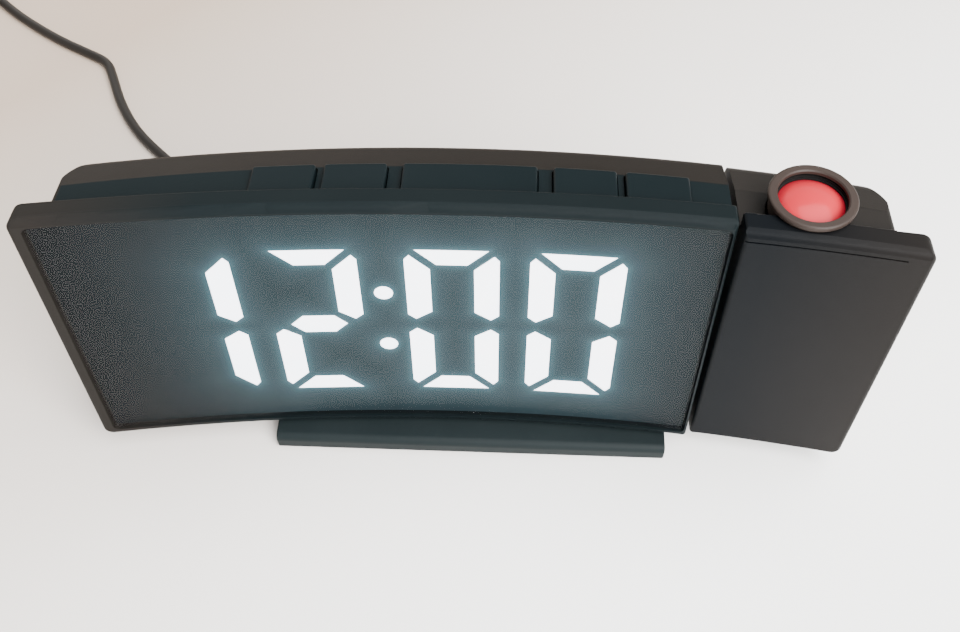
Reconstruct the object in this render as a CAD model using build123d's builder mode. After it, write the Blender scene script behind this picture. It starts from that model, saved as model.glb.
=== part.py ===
from build123d import *
import math
import os

# A desk clock with a wide mirror-faced digital display that curves in towards the viewer, five
# buttons behind its top edge, a slab base, and a ceiling projector in the right-hand end, which
# turns about a hollow shaft. Millimetres, +Z up, +X to the viewer's right, -Y towards the viewer.
# The origin is on the table, under the middle of the clock without its lead.
# The case leans back a little. Its pieces are drawn upright in the case's own frame, where z runs
# up the front plate and y runs back from the plate's lower edge, and are then stood on the base.

os.makedirs("parts", exist_ok=True)

# Front plate, the whole width of the clock
case_width = 200.0
plate_height = 81.5
plate_depth = 6.2
front_radius = 586.0
plate_corner = 2.5
plate_front_round = 1.1
plate_top_round = 2.3
plate_top_bite = 0.05
plate_back_round = 0.5
case_lean = 5.0
case_lift = 6.0

# Where the clock divides into the fixed case and the turning projector end
seam_x = 59.0
seam_gap = 1.2
seam_round = 0.7

# Rear housing
wall = 2.0
end_step = 5.5
top_step = 4.0
bottom_step = 4.5
crease_depth = 17.8
crease_radius = 450.0
crease_round = 1.5
housing_depth = 30.0
strip_slope = 15.0
shoulder_round = 5.0
heel_round = 8.0
heel_rake = 2.5
end_round = 12.0
rim_round = 1.6
overrun = 1.0
well_ahead = 20.0
seat_gap = 0.1

# Base
base_width = 107.0
base_depth = 46.4
base_front = -22.5
base_setback = 6.8
base_height = 4.7
base_inner_corner = 2.4
base_end_round = 0.5
base_edge_round = 2.0
base_wall = 1.6
base_roof = 1.3
foot_radius = 4.0
foot_height = 1.0
foot_show = 0.5
foot_inset_x = 9.0
foot_inset_y = 8.0
cover_thickness = 1.0
weight_clearance = 0.4
plinth_width = 86.0
plinth_front = 8.5
plinth_depth = 17.0
plinth_round = 3.0

# Display window and the parts behind it
window_rim_end = 3.0
window_rim_top = 2.3
window_rim_bottom = 1.9
window_rim_seam = 0.8
window_recess = 0.4
window_thickness = 1.5
window_gap = 0.3
window_corner = 1.5
light_box_width = 127.0
light_box_height = 62.0
light_box_back = 8.0
aperture_gap = 0.4
diffuser_recess = 0.3
diffuser_thickness = 1.2
board_thickness = 1.6
led_size = 1.6
led_depth = 1.0

# Seven-bar digits
digit_width = 22.4
digit_height = 53.0
digit_pitch = 29.5
colon_pitch = 33.4
digit_rise = 0.4
upright_bar = 6.0
cross_bar = 5.0
middle_bar = 6.2
cross_inset = 2.5
corner_cut = 1.2
corner_drop = 1.8
shoulder_drop = 3.3
tip_inset = 2.0
tip_gap = 1.8
outer_heel = 3.5
inner_heel = 4.6
middle_reach = 7.0
middle_flat = 3.9
dot_radius = 2.3
upper_dot_rise = 12.0
lower_dot_drop = 7.8

# Buttons
middle_button_width = 31.0
side_button_width = 14.5
pair_gap = 1.9
middle_gap = 3.6
button_rise = 1.6
button_front_gap = 1.3
button_back_gap = 0.5
button_clearance = 0.3
button_round = 0.6
button_corner = 0.8
button_wall = 1.4
button_lip = 0.8
button_lip_height = 1.2
button_lip_gap = 0.3
stem_radius = 1.6
switch_line = 13.0
switch_size = 6.0
switch_height = 3.5
plunger_radius = 1.7
plunger_clearance = 0.1
plunger_rise = 1.5
plunger_sink = 1.2
plunger_well = 2.2
button_board_front = 10.0
button_board_back = 16.8
button_board_half = 46.5
button_board_level = 66.0
bracket_x = 30.0
bracket_thickness = 2.0
bracket_height = 4.0
hanger_x = 17.3
hanger_thickness = 1.2
hanger_depth = 4.0

# Screw posts that join the front plates to the rear housings
post_radius = 2.9
post_split = 15.0
post_inset_end = 6.3
post_inset_seam = 7.5
post_low = 12.0
post_high = 66.0
screw_radius = 1.3
screw_hole_radius = 1.4
screw_head_radius = 2.4
screw_head_height = 1.8
screw_bite = 8.0
screw_slot_width = 0.8
screw_slot_length = 3.2
screw_slot_depth = 0.9
screw_tip_gap = 0.5
base_screw_x = 32.0
base_screw_y = 17.7
base_boss_radius = 3.0
base_boss_top = 12.5
base_head_drop = 0.85
weight_hole_radius = 4.0
plinth_sink = 1.0
head_well_radius = 2.6
post_floor = 2.0
rear_post_radius = 3.8

# Main board and what stands on it
board_level = 12.6
board_left = -74.0
board_right = 45.0
board_low = 8.5
board_high = 58.0
spacer_radius = 2.5
spacer_inset = 5.0
jack_x = -62.0
jack_level = 16.5
jack_width = 9.0
jack_height = 10.0
jack_bore_radius = 2.9
jack_bore_depth = 9.0
jack_front = 10.6
jack_port_radius = 3.4
jack_pin_radius = 1.0
jack_pin_back = 1.5
socket_x = -42.0
socket_level = 15.5
socket_width = 13.2
socket_height = 5.8
socket_wall = 0.4
socket_floor = 1.0
tongue_thickness = 1.9
tongue_width = 11.0
tongue_rise = 0.9
tongue_back = 1.5
port_gap = 0.3
port_wall_gap = 0.2
chip_sizes = ((-8.0, 24.0, 10.0, 10.0, 1.6), (12.0, 18.0, 8.0, 5.0, 1.5), (-50.0, 40.0, 6.0, 5.0, 1.5))
capacitor_x = 4.0
capacitor_level = 50.0
capacitor_radius = 3.15
capacitor_height = 7.0

# Backup cell and its door in the back
cell_x = 30.0
cell_level = 40.0
cell_radius = 10.0
cell_thickness = 3.2
holder_wall = 0.8
holder_floor = 0.8
cell_floor_depth = 8.6
compartment_wall = 1.2
holder_gap = 0.2
holder_notch = 9.0
door_width = 28.0
door_height = 25.0
door_corner = 3.0
door_thickness = 1.1
door_gap = 0.3
door_ledge = 1.4
door_notch_radius = 4.0
door_notch_depth = 0.6

# Speaker behind the back grille
speaker_x = -14.0
speaker_level = 40.0
speaker_radius = 14.0
speaker_depth = 4.5
speaker_floor_depth = 4.5
speaker_gap = 0.2
speaker_cup_wall = 1.4
speaker_step = 1.5
magnet_radius = 7.0
magnet_depth = 2.6
grille_radius = 10.5
grille_slot = 1.5
grille_pitch = 3.0
grille_rows = 7

# Projector end
swivel_y = 10.0
module_tilt = 2.2
shaft_radius = 4.0
shaft_bore = 2.4
shaft_flange_radius = 6.2
shaft_flange_thickness = 1.5
running_gap = 0.05
face_gap = 0.1
bush_radius = 5.2
bush_flange_thickness = 1.0
bush_stand = 0.6
clip_radius = 5.8
clip_thickness = 0.8
clip_mouth = 5.0
groove_depth = 0.7
shaft_tail = 1.2
fit_gap = 0.1
front_skin = 2.0
front_line_drop = 3.0
front_line_height = 0.4
front_line_depth = 0.4
front_line_end = 5.5
lens_x = 75.5
lens_y = 6.7
barrel_radius = 8.5
barrel_wall = 0.6
barrel_bottom = 47.0
barrel_top = 81.6
neck_gap = 0.3
ring_radius = 9.8
ring_skirt_radius = 9.05
ring_skirt_bottom = 78.6
ring_bottom = 82.0
ring_top = 83.3
ring_mouth_radius = 7.7
ring_lip = 1.0
ring_round = 0.5
ring_mouth_flare = 0.3
ring_low_round = 0.3
cell_tube_wall = 0.8
cell_tube_bottom = 72.0
cell_tube_top = 81.1
lens_radius = 7.4
lens_edge = 1.2
lens_crown_radius = 14.5
lens_seat_level = 79.5
condenser_level = 58.0
condenser_edge = 1.0
condenser_crown_radius = 9.0
slide_size = 8.0
slide_thickness = 1.1
slide_level = 64.0
slide_frame_height = 2.2
lamp_size = 3.5
lamp_height = 1.4
shelf_level = 45.4
shelf_thickness = 2.0
shelf_front = -1.4
shelf_left = 64.0
shelf_right = 84.6
shelf_margin = 0.8
projector_board_back = 13.5
saddle_low = 60.0
saddle_high = 63.0
saddle_half = 5.0
saddle_front = 8.0

# Power lead
cord_diameter = 3.3
plug_barrel_radius = 2.75
plug_bore_radius = 1.1
plug_barrel_length = 9.5
plug_body_radius = 4.6
plug_body_length = 15.0
plug_body_round = 1.2
plug_stand_off = 1.6
relief_length = 14.0
relief_root_radius = 3.3
relief_tip_radius = 2.2
cord_curve_share = 0.45
coil_inner = 11.4
coil_half_turns = 7
coil_half_pitch = 2.35
coil_low = 2.6
coil_step = 3.85
tie_gap = 0.1
tie_thickness = 0.8
tie_width = 4.0
tie_corner = 3.0
usb_body_width = 15.5
usb_body_height = 7.4
usb_body_length = 21.0
usb_body_round = 1.6
usb_shell_width = 12.0
usb_shell_height = 4.5
usb_shell_length = 12.0
usb_shell_wall = 0.4
usb_tongue_width = 11.0
usb_tongue_height = 1.8
usb_lead_length = 5.0
usb_lead_root_radius = 2.8
usb_lead_tip_radius = 2.1
coil_samples = 1500
coil_centre = (-228.5, 163.0)
coil_heading = 136.5
cord_points = [
    (-62.0, 47.5, 17.03),
    (-66.0, 56.0, 12.0),
    (-74.5, 62.0, 5.2),
    (-86.0, 67.5, 1.9),
    (-97.5, 75.0, 1.7),
    (-109.7, 85.5, 1.7),
    (-120.4, 96.2, 1.7),
    (-129.2, 109.6, 1.7),
    (-135.4, 123.5, 1.7),
    (-138.9, 130.7, 1.7),
    (-146.5, 135.0, 1.7),
    (-157.8, 140.9, 1.7),
    (-170.6, 149.2, 1.7),
    (-182.0, 157.8, 1.7),
    (-195.0, 169.6, 2.6),
]
tail_points = [
    (-238.7, 134.3, 6.45),
    (-230.2, 123.3, 3.7),
    (-225.2, 114.6, 3.7),
]

# Derived places
to_back = (0, 1, 0)
plate_half = case_width / 2
module_left = seam_x + seam_gap
housing_half = plate_half - end_step
deck_level = plate_height - top_step
swivel_z = plate_height / 2
back_centre = crease_depth - crease_radius
back_axis = Axis((0, back_centre, 0), (0, 0, 1))
plate_axis = Axis((0, -front_radius, 0), (0, 0, 1))
base_top = foot_show + base_height
case_y = base_front + base_setback
base_middle = base_front + base_depth / 2
case_stand = Location((0, case_y, case_lift), (-case_lean, 0, 0))
swivel_place = Location((0, swivel_y, swivel_z))
module_stand = case_stand * swivel_place * Location((0, 0, 0), (module_tilt, 0, 0)) * swivel_place.inverse()


def depth_y(depth, x):
    """How far back a surface lies that stands a depth behind the curved front, at x."""
    return math.sqrt((front_radius + depth) ** 2 - x**2) - front_radius


def crease_y(behind, x):
    """How far back a surface lies that stands behind the crease of the top, at x."""
    return math.sqrt((crease_radius + behind) ** 2 - x**2) + back_centre


def arc_pair_plan(front, back, left, right):
    """Plan between two curved edges, given as functions of x, from left to right."""
    middle = (left + right) / 2
    with BuildSketch() as plan:
        with BuildLine():
            near = ThreePointArc((left, front(left)), (middle, front(middle)), (right, front(right)))
            far = ThreePointArc((right, back(right)), (middle, back(middle)), (left, back(left)))
            Line(near @ 1, far @ 0)
            Line(far @ 1, near @ 0)
        make_face()
    return plan.sketch


def slab_plan(front, back, left, right):
    """Plan of a slab that follows the curved front between two depths."""
    return arc_pair_plan(lambda x: depth_y(front, x), lambda x: depth_y(back, x), left, right)


def front_outline(left, right, low, high, corner, depth):
    """Upright outline with rounded corners, seen from the front, at a depth behind the plate."""
    with BuildSketch(Plane.XZ.offset(-depth)) as outline:
        with Locations(((left + right) / 2, (low + high) / 2)):
            RectangleRounded(right - left, high - low, corner)
    return outline.sketch


def housing_section(inset):
    """Side view of the housing's top, back and underside, drawn in by inset."""
    front = -crease_depth
    shoulder = deck_level - (housing_depth - crease_depth) * math.tan(math.radians(strip_slope))
    with BuildSketch(Plane.YZ) as section:
        with BuildLine():
            Polyline(
                (front, bottom_step),
                (housing_depth - heel_rake, bottom_step),
                (housing_depth, shoulder),
                (crease_depth, deck_level),
                (front, deck_level),
                close=True,
            )
        make_face()
        top_back = section.vertices().sort_by(Axis.X)[-1]
        fillet(top_back, shoulder_round)
        low_back = section.vertices().group_by(Axis.Y)[0].sort_by(Axis.X)[-1]
        fillet(low_back, heel_round)
        crease = section.vertices().group_by(Axis.Y)[-1].sort_by(Axis.X)[-1]
        fillet(crease, crease_round)
        if inset:
            offset(amount=-inset)
    return section.sketch


def housing_plan(inset, front):
    """Plan of the whole housing, with its rounded back corners, drawn in by inset."""
    end = housing_half - inset
    behind = housing_depth - crease_depth - inset
    outline = arc_pair_plan(lambda x: depth_y(front, x), lambda x: crease_y(behind, x), -end, end)
    with BuildSketch() as plan:
        add(outline)
        fillet(plan.vertices().group_by(Axis.Y)[-1], end_round - inset)
    return plan.sketch


def housing(inset, front, left, right):
    """The housing's form, drawn in by inset, from a depth behind the front, between two ends."""
    end = housing_half - inset
    outline = front_outline(-end, end, bottom_step + inset, deck_level - inset, rim_round, -well_ahead)
    with BuildPart() as block:
        add(housing_section(inset))
        revolve(axis=back_axis)
        add(housing_plan(inset, front))
        extrude(amount=plate_height, mode=Mode.INTERSECT)
        with BuildSketch():
            with Locations(((left + right) / 2, 0)):
                Rectangle(right - left, 2 * crease_radius)
        extrude(amount=plate_height, mode=Mode.INTERSECT)
        add(outline)
        extrude(amount=well_ahead + 2 * housing_depth, dir=to_back, mode=Mode.INTERSECT)
    return block.part


def front_plate(left, right, rounded_end):
    """Front plate between two ends, curved in plan, with rounded rims and a rolled top edge."""
    with BuildPart() as plate:
        add(slab_plan(0, plate_depth, left, right))
        extrude(amount=plate_height)
        depthwise = plate.edges().filter_by(Axis.Y)
        ends = depthwise.group_by(Axis.X)
        fillet(ends[0] if rounded_end < 0 else ends[-1], plate_corner)
        inner_edges = plate.edges().filter_by(Axis.Y).group_by(Axis.X)
        fillet(inner_edges[-1] if rounded_end < 0 else inner_edges[0], seam_round)
        curved = plate.faces().filter_by(GeomType.CYLINDER).sort_by(SortBy.AREA)[-2:].sort_by(Axis.Y)
        fillet(curved[0].edges(), plate_front_round)
        curved = plate.faces().filter_by(GeomType.CYLINDER).sort_by(SortBy.AREA)[-2:].sort_by(Axis.Y)
        fillet(curved[-1].edges(), plate_back_round)
        with BuildSketch(Plane.YZ):
            with Locations((plate_top_round - plate_top_bite, plate_height - plate_top_round + plate_top_bite)):
                Rectangle(plate_top_round + overrun, plate_top_round + overrun, align=(Align.MAX, Align.MIN))
                Circle(plate_top_round, mode=Mode.SUBTRACT)
        revolve(axis=plate_axis, mode=Mode.SUBTRACT)
    return plate.part


# The front faces that frame the display: the window lies in a shallow rebate in the bezel
window_left = window_rim_end - plate_half
window_right = seam_x - window_rim_seam
window_low = window_rim_bottom
window_high = plate_height - window_rim_top
screw_tip = post_split - screw_bite + screw_tip_gap
display_x = (seam_x - plate_half) / 2
display_z = plate_height / 2 + digit_rise
window_back = window_recess + window_thickness
light_left = display_x - light_box_width / 2
light_right = display_x + light_box_width / 2
light_low = (plate_height - light_box_height) / 2
light_high = light_low + light_box_height
post_left = post_inset_end - housing_half
post_right = seam_x - post_inset_seam
main_posts = [(post_left, post_low), (post_left, post_high), (post_right, post_low), (post_right, post_high)]
post_module = housing_half - post_inset_end
module_posts = [(post_module, post_low), (post_module, post_high)]


def upright_prism(places, sketch_shape, front, back):
    """Prisms along y between two depths, one at each place, each with the outline given."""
    with BuildPart() as prisms:
        with BuildSketch(Plane.XZ.offset(-front)):
            with Locations(*places):
                sketch_shape()
        extrude(amount=back - front, dir=to_back)
    return prisms.part


def rods(places, radius, front, back):
    """Round rods along y between two depths."""
    return upright_prism(places, lambda: Circle(radius), front, back)


def block_between(left, right, low, high, front, back):
    """A plain block given by its faces."""
    with BuildPart() as block:
        with BuildSketch(Plane.XZ.offset(-front)):
            with Locations(((left + right) / 2, (low + high) / 2)):
                Rectangle(right - left, high - low)
        extrude(amount=back - front, dir=to_back)
    return block.part


def rounded_block(left, right, low, high, front, back, corner):
    """A block with rounded upright corners, seen from the front."""
    with BuildPart() as block:
        add(front_outline(left, right, low, high, corner, front))
        extrude(amount=back - front, dir=to_back)
    return block.part


# Bezel: one moulding, with a rebate for the window, an aperture for the light box and four posts
bezel_blank = front_plate(-plate_half, seam_x, -1)
window_bed = front_outline(window_left, window_right, window_low, window_high, window_corner, -well_ahead)
with BuildPart() as rebate:
    add(slab_plan(-well_ahead, window_back, -plate_half, seam_x))
    extrude(amount=plate_height)
    add(window_bed)
    extrude(amount=well_ahead + housing_depth, dir=to_back, mode=Mode.INTERSECT)
light_aperture = block_between(
    light_left - aperture_gap, light_right + aperture_gap, light_low - aperture_gap,
    light_high + aperture_gap, -well_ahead, housing_depth)
main_post_rods = rods(main_posts, post_radius, -crease_depth, post_split)
with BuildPart() as behind_plate:
    add(slab_plan(plate_depth - overrun, housing_depth, -plate_half, seam_x))
    extrude(amount=plate_height)
with BuildPart() as front_bezel:
    add(bezel_blank)
    add(rebate.part, mode=Mode.SUBTRACT)
    add(light_aperture, mode=Mode.SUBTRACT)
    add(main_post_rods & behind_plate.part)
    add(rods(main_posts, screw_hole_radius, post_split - screw_bite, post_split + overrun), mode=Mode.SUBTRACT)

# Display window: a bent strip of dark tinted acrylic with a half-mirror face
with BuildPart() as display_window:
    add(slab_plan(window_recess, window_back, window_left, window_right))
    extrude(amount=plate_height)
    add(front_outline(window_left + window_gap, window_right - window_gap, window_low + window_gap,
                      window_high - window_gap, window_corner - window_gap, -well_ahead))
    extrude(amount=well_ahead + housing_depth, dir=to_back, mode=Mode.INTERSECT)


# Seven-bar digits: each bar is a cut-cornered outline about its digit's centre
def mirrored(points, across, over):
    """Outline points flipped left to right and top to bottom by signs."""
    return [(across * x, over * z) for x, z in points]


half_digit = digit_width / 2
half_height = digit_height / 2
upright_points = [
    (corner_cut - half_digit, half_height - corner_drop),
    (-half_digit, half_height - shoulder_drop),
    (-half_digit, outer_heel),
    (tip_inset - half_digit, tip_gap),
    (upright_bar - half_digit, inner_heel),
    (upright_bar - half_digit, half_height - corner_drop - upright_bar + corner_cut),
]
cross_points = [
    (cross_inset - half_digit, half_height),
    (half_digit - cross_inset, half_height),
    (half_digit - cross_inset - cross_bar, half_height - cross_bar),
    (cross_inset + cross_bar - half_digit, half_height - cross_bar),
]
middle_points = [
    (-middle_reach, 0),
    (-middle_flat, middle_bar / 2),
    (middle_flat, middle_bar / 2),
    (middle_reach, 0),
    (middle_flat, -middle_bar / 2),
    (-middle_flat, -middle_bar / 2),
]
bar_points = {
    "top": cross_points,
    "upper_right": mirrored(upright_points, -1, 1),
    "lower_right": mirrored(upright_points, -1, -1),
    "bottom": mirrored(cross_points, 1, -1),
    "lower_left": mirrored(upright_points, 1, -1),
    "upper_left": upright_points,
    "middle": middle_points,
}
lit_bars = {
    0: ("top", "upper_right", "lower_right", "bottom", "lower_left", "upper_left"),
    1: ("upper_right", "lower_right"),
    2: ("top", "upper_right", "middle", "lower_left", "bottom"),
}
shown_digits = (1, 2, 0, 0)
digit_centres = [
    display_x - colon_pitch / 2 - digit_pitch,
    display_x - colon_pitch / 2,
    display_x + colon_pitch / 2,
    display_x + colon_pitch / 2 + digit_pitch,
]


def bar_prisms(chosen, front, back):
    """Prisms along y for the bars chosen by digit and name."""
    with BuildPart() as bars:
        for centre, names in zip(digit_centres, chosen):
            for name in names:
                with BuildSketch(Plane.XZ.offset(-front)):
                    with Locations((centre, display_z)):
                        Polygon(*bar_points[name], align=None)
                extrude(amount=back - front, dir=to_back)
    return bars.part


lit_names = [lit_bars[digit] for digit in shown_digits]
dark_names = [[name for name in bar_points if name not in names] for names in lit_names]
all_names = [list(bar_points)] * len(shown_digits)
dot_places = [(display_x, display_z + upper_dot_rise), (display_x, display_z - lower_dot_drop)]


# Light box: a white moulding behind the window, with a well behind every bar and dot
deep = (-well_ahead, light_box_back + overrun)
with BuildPart() as light_box:
    add(slab_plan(window_back, well_ahead, light_left, light_right))
    extrude(amount=plate_height)
    add(block_between(light_left, light_right, light_low, light_high, -well_ahead, light_box_back),
        mode=Mode.INTERSECT)
    add(bar_prisms(all_names, *deep), mode=Mode.SUBTRACT)
    add(rods(dot_places, dot_radius, *deep), mode=Mode.SUBTRACT)

# Diffusers: thin milky blocks at the mouth of each well
with BuildPart() as diffuser_layer:
    add(slab_plan(window_back + diffuser_recess, window_back + diffuser_recess + diffuser_thickness,
                  light_left, light_right))
    extrude(amount=plate_height)
with BuildPart() as lit_bars_part:
    add(diffuser_layer.part & bar_prisms(lit_names, *deep))
with BuildPart() as dark_bars_part:
    add(diffuser_layer.part & bar_prisms(dark_names, *deep))
with BuildPart() as colon_dots:
    add(diffuser_layer.part & rods(dot_places, dot_radius, *deep))

# Display board: carries one lamp in each well
board_front = light_box_back
board_back = board_front + board_thickness


def bar_middle(name):
    """Middle of a bar, from its outline."""
    points = bar_points[name]
    return (sum(x for x, z in points) / len(points), sum(z for x, z in points) / len(points))


lamp_places = [
    (centre + bar_middle(name)[0], display_z + bar_middle(name)[1]) for centre in digit_centres for name in bar_points
]
display_board_box = (light_left, light_right, light_low, light_high)
with BuildPart() as display_board:
    add(block_between(*display_board_box, board_front, board_back))
with BuildPart() as display_leds:
    add(upright_prism(lamp_places + dot_places, lambda: Rectangle(led_size, led_size),
                      board_front - led_depth, board_front))

# Main board, on short spacers behind the display board
main_back = board_level + board_thickness
spacer_places = [
    (board_left + spacer_inset, board_high - spacer_inset),
    (board_right - spacer_inset, board_high - spacer_inset),
    (board_left + spacer_inset + jack_width, board_low + spacer_inset + jack_height + jack_height),
    (board_right - spacer_inset, board_low + 2 * spacer_inset),
]
spacer_places = [(min(max(x, light_left + spacer_inset), light_right - spacer_inset), z) for x, z in spacer_places]
with BuildPart() as board_spacers:
    add(rods(spacer_places, spacer_radius, board_back, board_level))
    add(rods(spacer_places, screw_radius, board_level, main_back))
    add(rods(spacer_places, screw_head_radius, main_back, main_back + screw_head_height))
with BuildPart() as main_board:
    add(block_between(board_left, board_right, board_low, board_high, board_level, main_back))
    add(block_between(jack_x - jack_width / 2 - fit_gap, jack_x + jack_width / 2 + fit_gap,
                      jack_level - jack_height / 2 - fit_gap, jack_level + jack_height / 2 + fit_gap,
                      board_level - overrun, main_back + overrun), mode=Mode.SUBTRACT)
    add(rods(spacer_places, screw_hole_radius, board_level - overrun, main_back + overrun), mode=Mode.SUBTRACT)
with BuildPart() as board_parts:
    add(rods([(capacitor_x, capacitor_level)], capacitor_radius, main_back, main_back + capacitor_height))
    fillet(board_parts.faces().sort_by(Axis.Y)[-1].edges(), capacitor_radius / 6)
    for x, z, width, height, depth in chip_sizes:
        add(block_between(x - width / 2, x + width / 2, z - height / 2, z + height / 2, main_back, main_back + depth))

# Power jack: a block let into the main board, with a round bore and a centre pin
jack_back = crease_y(housing_depth - crease_depth - wall - heel_rake, jack_x - jack_width / 2)
jack_place = [(jack_x, jack_level)]
with BuildPart() as power_jack:
    add(block_between(jack_x - jack_width / 2, jack_x + jack_width / 2, jack_level - jack_height / 2,
                      jack_level + jack_height / 2, jack_front, jack_back))
    add(rods(jack_place, jack_bore_radius, jack_back - jack_bore_depth, jack_back + overrun), mode=Mode.SUBTRACT)
    add(rods(jack_place, jack_pin_radius, jack_back - jack_bore_depth - fit_gap, jack_back - jack_pin_back))

# Charging socket: a folded steel shell with a plastic tongue
socket_back = crease_y(housing_depth - crease_depth - wall - heel_rake + port_wall_gap, socket_x)
shell_box = (socket_x - socket_width / 2, socket_x + socket_width / 2, socket_level - socket_height / 2,
             socket_level + socket_height / 2)
with BuildPart() as usb_socket:
    add(block_between(*shell_box, main_back, socket_back))
    add(block_between(shell_box[0] + socket_wall, shell_box[1] - socket_wall, shell_box[2] + socket_wall,
                      shell_box[3] - socket_wall, main_back + socket_floor, socket_back + overrun), mode=Mode.SUBTRACT)
tongue_low = socket_level + tongue_rise - tongue_thickness / 2
with BuildPart() as usb_tongue:
    add(block_between(socket_x - tongue_width / 2, socket_x + tongue_width / 2, tongue_low,
                      tongue_low + tongue_thickness, main_back + socket_floor, socket_back - tongue_back))

# Backup cell, in the ring moulded in the compartment behind the back door
cell_place = [(cell_x, cell_level)]
cell_seat = housing_depth - cell_floor_depth
holder_back = cell_seat + holder_floor
holder_radius = cell_radius + holder_gap + holder_wall
with BuildPart() as coin_cell:
    add(rods(cell_place, cell_radius, holder_back, holder_back + cell_thickness))
    fillet(coin_cell.edges(), cell_thickness / 10)

# Speaker: a shallow frame and its magnet, in a cup inside the back
speaker_place = [(speaker_x, speaker_level)]
speaker_seat = housing_depth - speaker_floor_depth
speaker_front = speaker_seat - speaker_depth
with BuildPart() as speaker:
    add(rods(speaker_place, speaker_radius, speaker_front, speaker_seat))
    fillet(speaker.faces().sort_by(Axis.Y)[0].edges(), speaker_depth / 3)
with BuildPart() as speaker_magnet:
    add(rods(speaker_place, magnet_radius, speaker_front - magnet_depth, speaker_front))


# Buttons: five hollow caps in a curved row, each on its own switch
button_widths = (side_button_width, side_button_width, middle_button_width, side_button_width, side_button_width)
button_names = ("alarm_1", "alarm_2", "snooze", "time_set", "project")
side_centre = (middle_button_width + side_button_width) / 2 + middle_gap
end_centre = side_centre + side_button_width + pair_gap
button_centres = (-end_centre, -side_centre, 0, side_centre, end_centre)
cap_top = deck_level + button_rise
lip_top = deck_level - wall - button_lip_gap
lip_low = lip_top - button_lip_height
switch_top = button_board_level + switch_height
plunger_top = switch_top + plunger_rise


def column(plan, low, high):
    """An upright prism on a plan, between two levels."""
    with BuildPart() as solid:
        add(plan.moved(Location((0, 0, low))))
        extrude(amount=high - low)
    return solid.part


def posts_at(places, radius, low, high):
    """Round upright posts between two levels."""
    with BuildPart() as solid:
        with BuildSketch(Plane.XY.offset(low)):
            with Locations(*places):
                Circle(radius)
        extrude(amount=high - low)
    return solid.part


def button_plan(centre, width, grow):
    """Plan of a button, grown on every side, between the plate's back and the crease."""
    ahead = plate_depth + button_front_gap - grow
    outline = arc_pair_plan(
        lambda x: depth_y(ahead, x), lambda x: crease_y(grow - button_back_gap, x),
        centre - width / 2 - grow, centre + width / 2 + grow)
    with BuildSketch() as plan:
        add(outline)
        fillet(plan.vertices(), button_corner)
    return plan.sketch


def button_cap(centre, width):
    """Hollow button cap with a lip under the deck and a stem down to its switch."""
    with BuildPart() as cap:
        add(column(button_plan(centre, width, 0), lip_low, cap_top))
        fillet(cap.faces().sort_by(Axis.Z)[-1].edges(), button_round)
        add(column(button_plan(centre, width, button_lip), lip_low, lip_top))
        add(column(button_plan(centre, width, -button_wall), lip_low - overrun, cap_top - button_wall),
            mode=Mode.SUBTRACT)
        add(posts_at([(centre, switch_line)], stem_radius, plunger_top, cap_top - button_wall))
    return cap.part


button_caps = {
    name: button_cap(centre, width) for name, centre, width in zip(button_names, button_centres, button_widths)
}
switch_plungers = {
    name: posts_at([(centre, switch_line)], plunger_radius, switch_top - plunger_sink, plunger_top)
    for name, centre in zip(button_names, button_centres)
}
switch_places = [(centre, switch_line) for centre in button_centres]
with BuildPart() as button_board:
    add(block_between(-button_board_half, button_board_half, button_board_level - board_thickness,
                      button_board_level, button_board_front, button_board_back))
with BuildPart() as tact_switches:
    with BuildSketch(Plane.XY.offset(button_board_level)):
        with Locations(*switch_places):
            Rectangle(switch_size, switch_size)
    extrude(amount=switch_height)
    add(posts_at(switch_places, plunger_radius + plunger_clearance, switch_top - plunger_well, switch_top + overrun),
        mode=Mode.SUBTRACT)

# Rear housing of the fixed case, open to the front, with its posts, cup, compartment and ports
main_outer = housing(0, plate_depth, -housing_half, seam_x)
main_inner = housing(wall, plate_depth - overrun, -housing_half, seam_x - wall)
past_back = 2 * housing_depth
cup_radius = speaker_radius + speaker_gap
cell_box = (cell_x - door_width / 2 + door_ledge, cell_x + door_width / 2 - door_ledge,
            cell_level - door_height / 2 + door_ledge, cell_level + door_height / 2 - door_ledge)
door_box = (cell_x - door_width / 2, cell_x + door_width / 2, cell_level - door_height / 2,
            cell_level + door_height / 2)
door_skin = main_outer - housing(door_thickness, -well_ahead, -housing_half, seam_x)
door_recess = main_outer - housing(door_thickness + seat_gap, -well_ahead, -housing_half, seam_x)
notch_skin = main_outer - housing(door_notch_depth, -well_ahead, -housing_half, seam_x)
well_floor = post_split + post_floor
with BuildPart() as cell_ring:
    add(rods(cell_place, holder_radius, cell_seat, holder_back + cell_thickness - holder_wall))
    add(rods(cell_place, cell_radius + holder_gap, holder_back, holder_back + cell_thickness), mode=Mode.SUBTRACT)
    add(block_between(cell_x - holder_notch / 2, cell_x + holder_notch / 2, cell_level, cell_level + 2 * cell_radius,
                      holder_back, holder_back + cell_thickness), mode=Mode.SUBTRACT)
with BuildPart() as rear_fittings:
    add(rods(main_posts, rear_post_radius, post_split, past_back))
    add(rods(speaker_place, cup_radius + speaker_cup_wall, speaker_front + speaker_step, past_back))
    add(block_between(cell_box[0] - compartment_wall, cell_box[1] + compartment_wall, cell_box[2] - compartment_wall,
                      cell_box[3] + compartment_wall, cell_seat - compartment_wall, past_back))
    for x in (-bracket_x, bracket_x):
        under_board = button_board_level - board_thickness
        add(block_between(x - bracket_thickness / 2, x + bracket_thickness / 2, under_board - bracket_height,
                          under_board, button_board_front, past_back))
    for x in (-hanger_x, hanger_x):
        add(block_between(x - hanger_thickness / 2, x + hanger_thickness / 2, button_board_level, deck_level - wall,
                          switch_line - hanger_depth / 2, switch_line + hanger_depth / 2))
    add(housing(wall / 2, plate_depth - overrun, -housing_half, seam_x - wall / 2), mode=Mode.INTERSECT)
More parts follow.
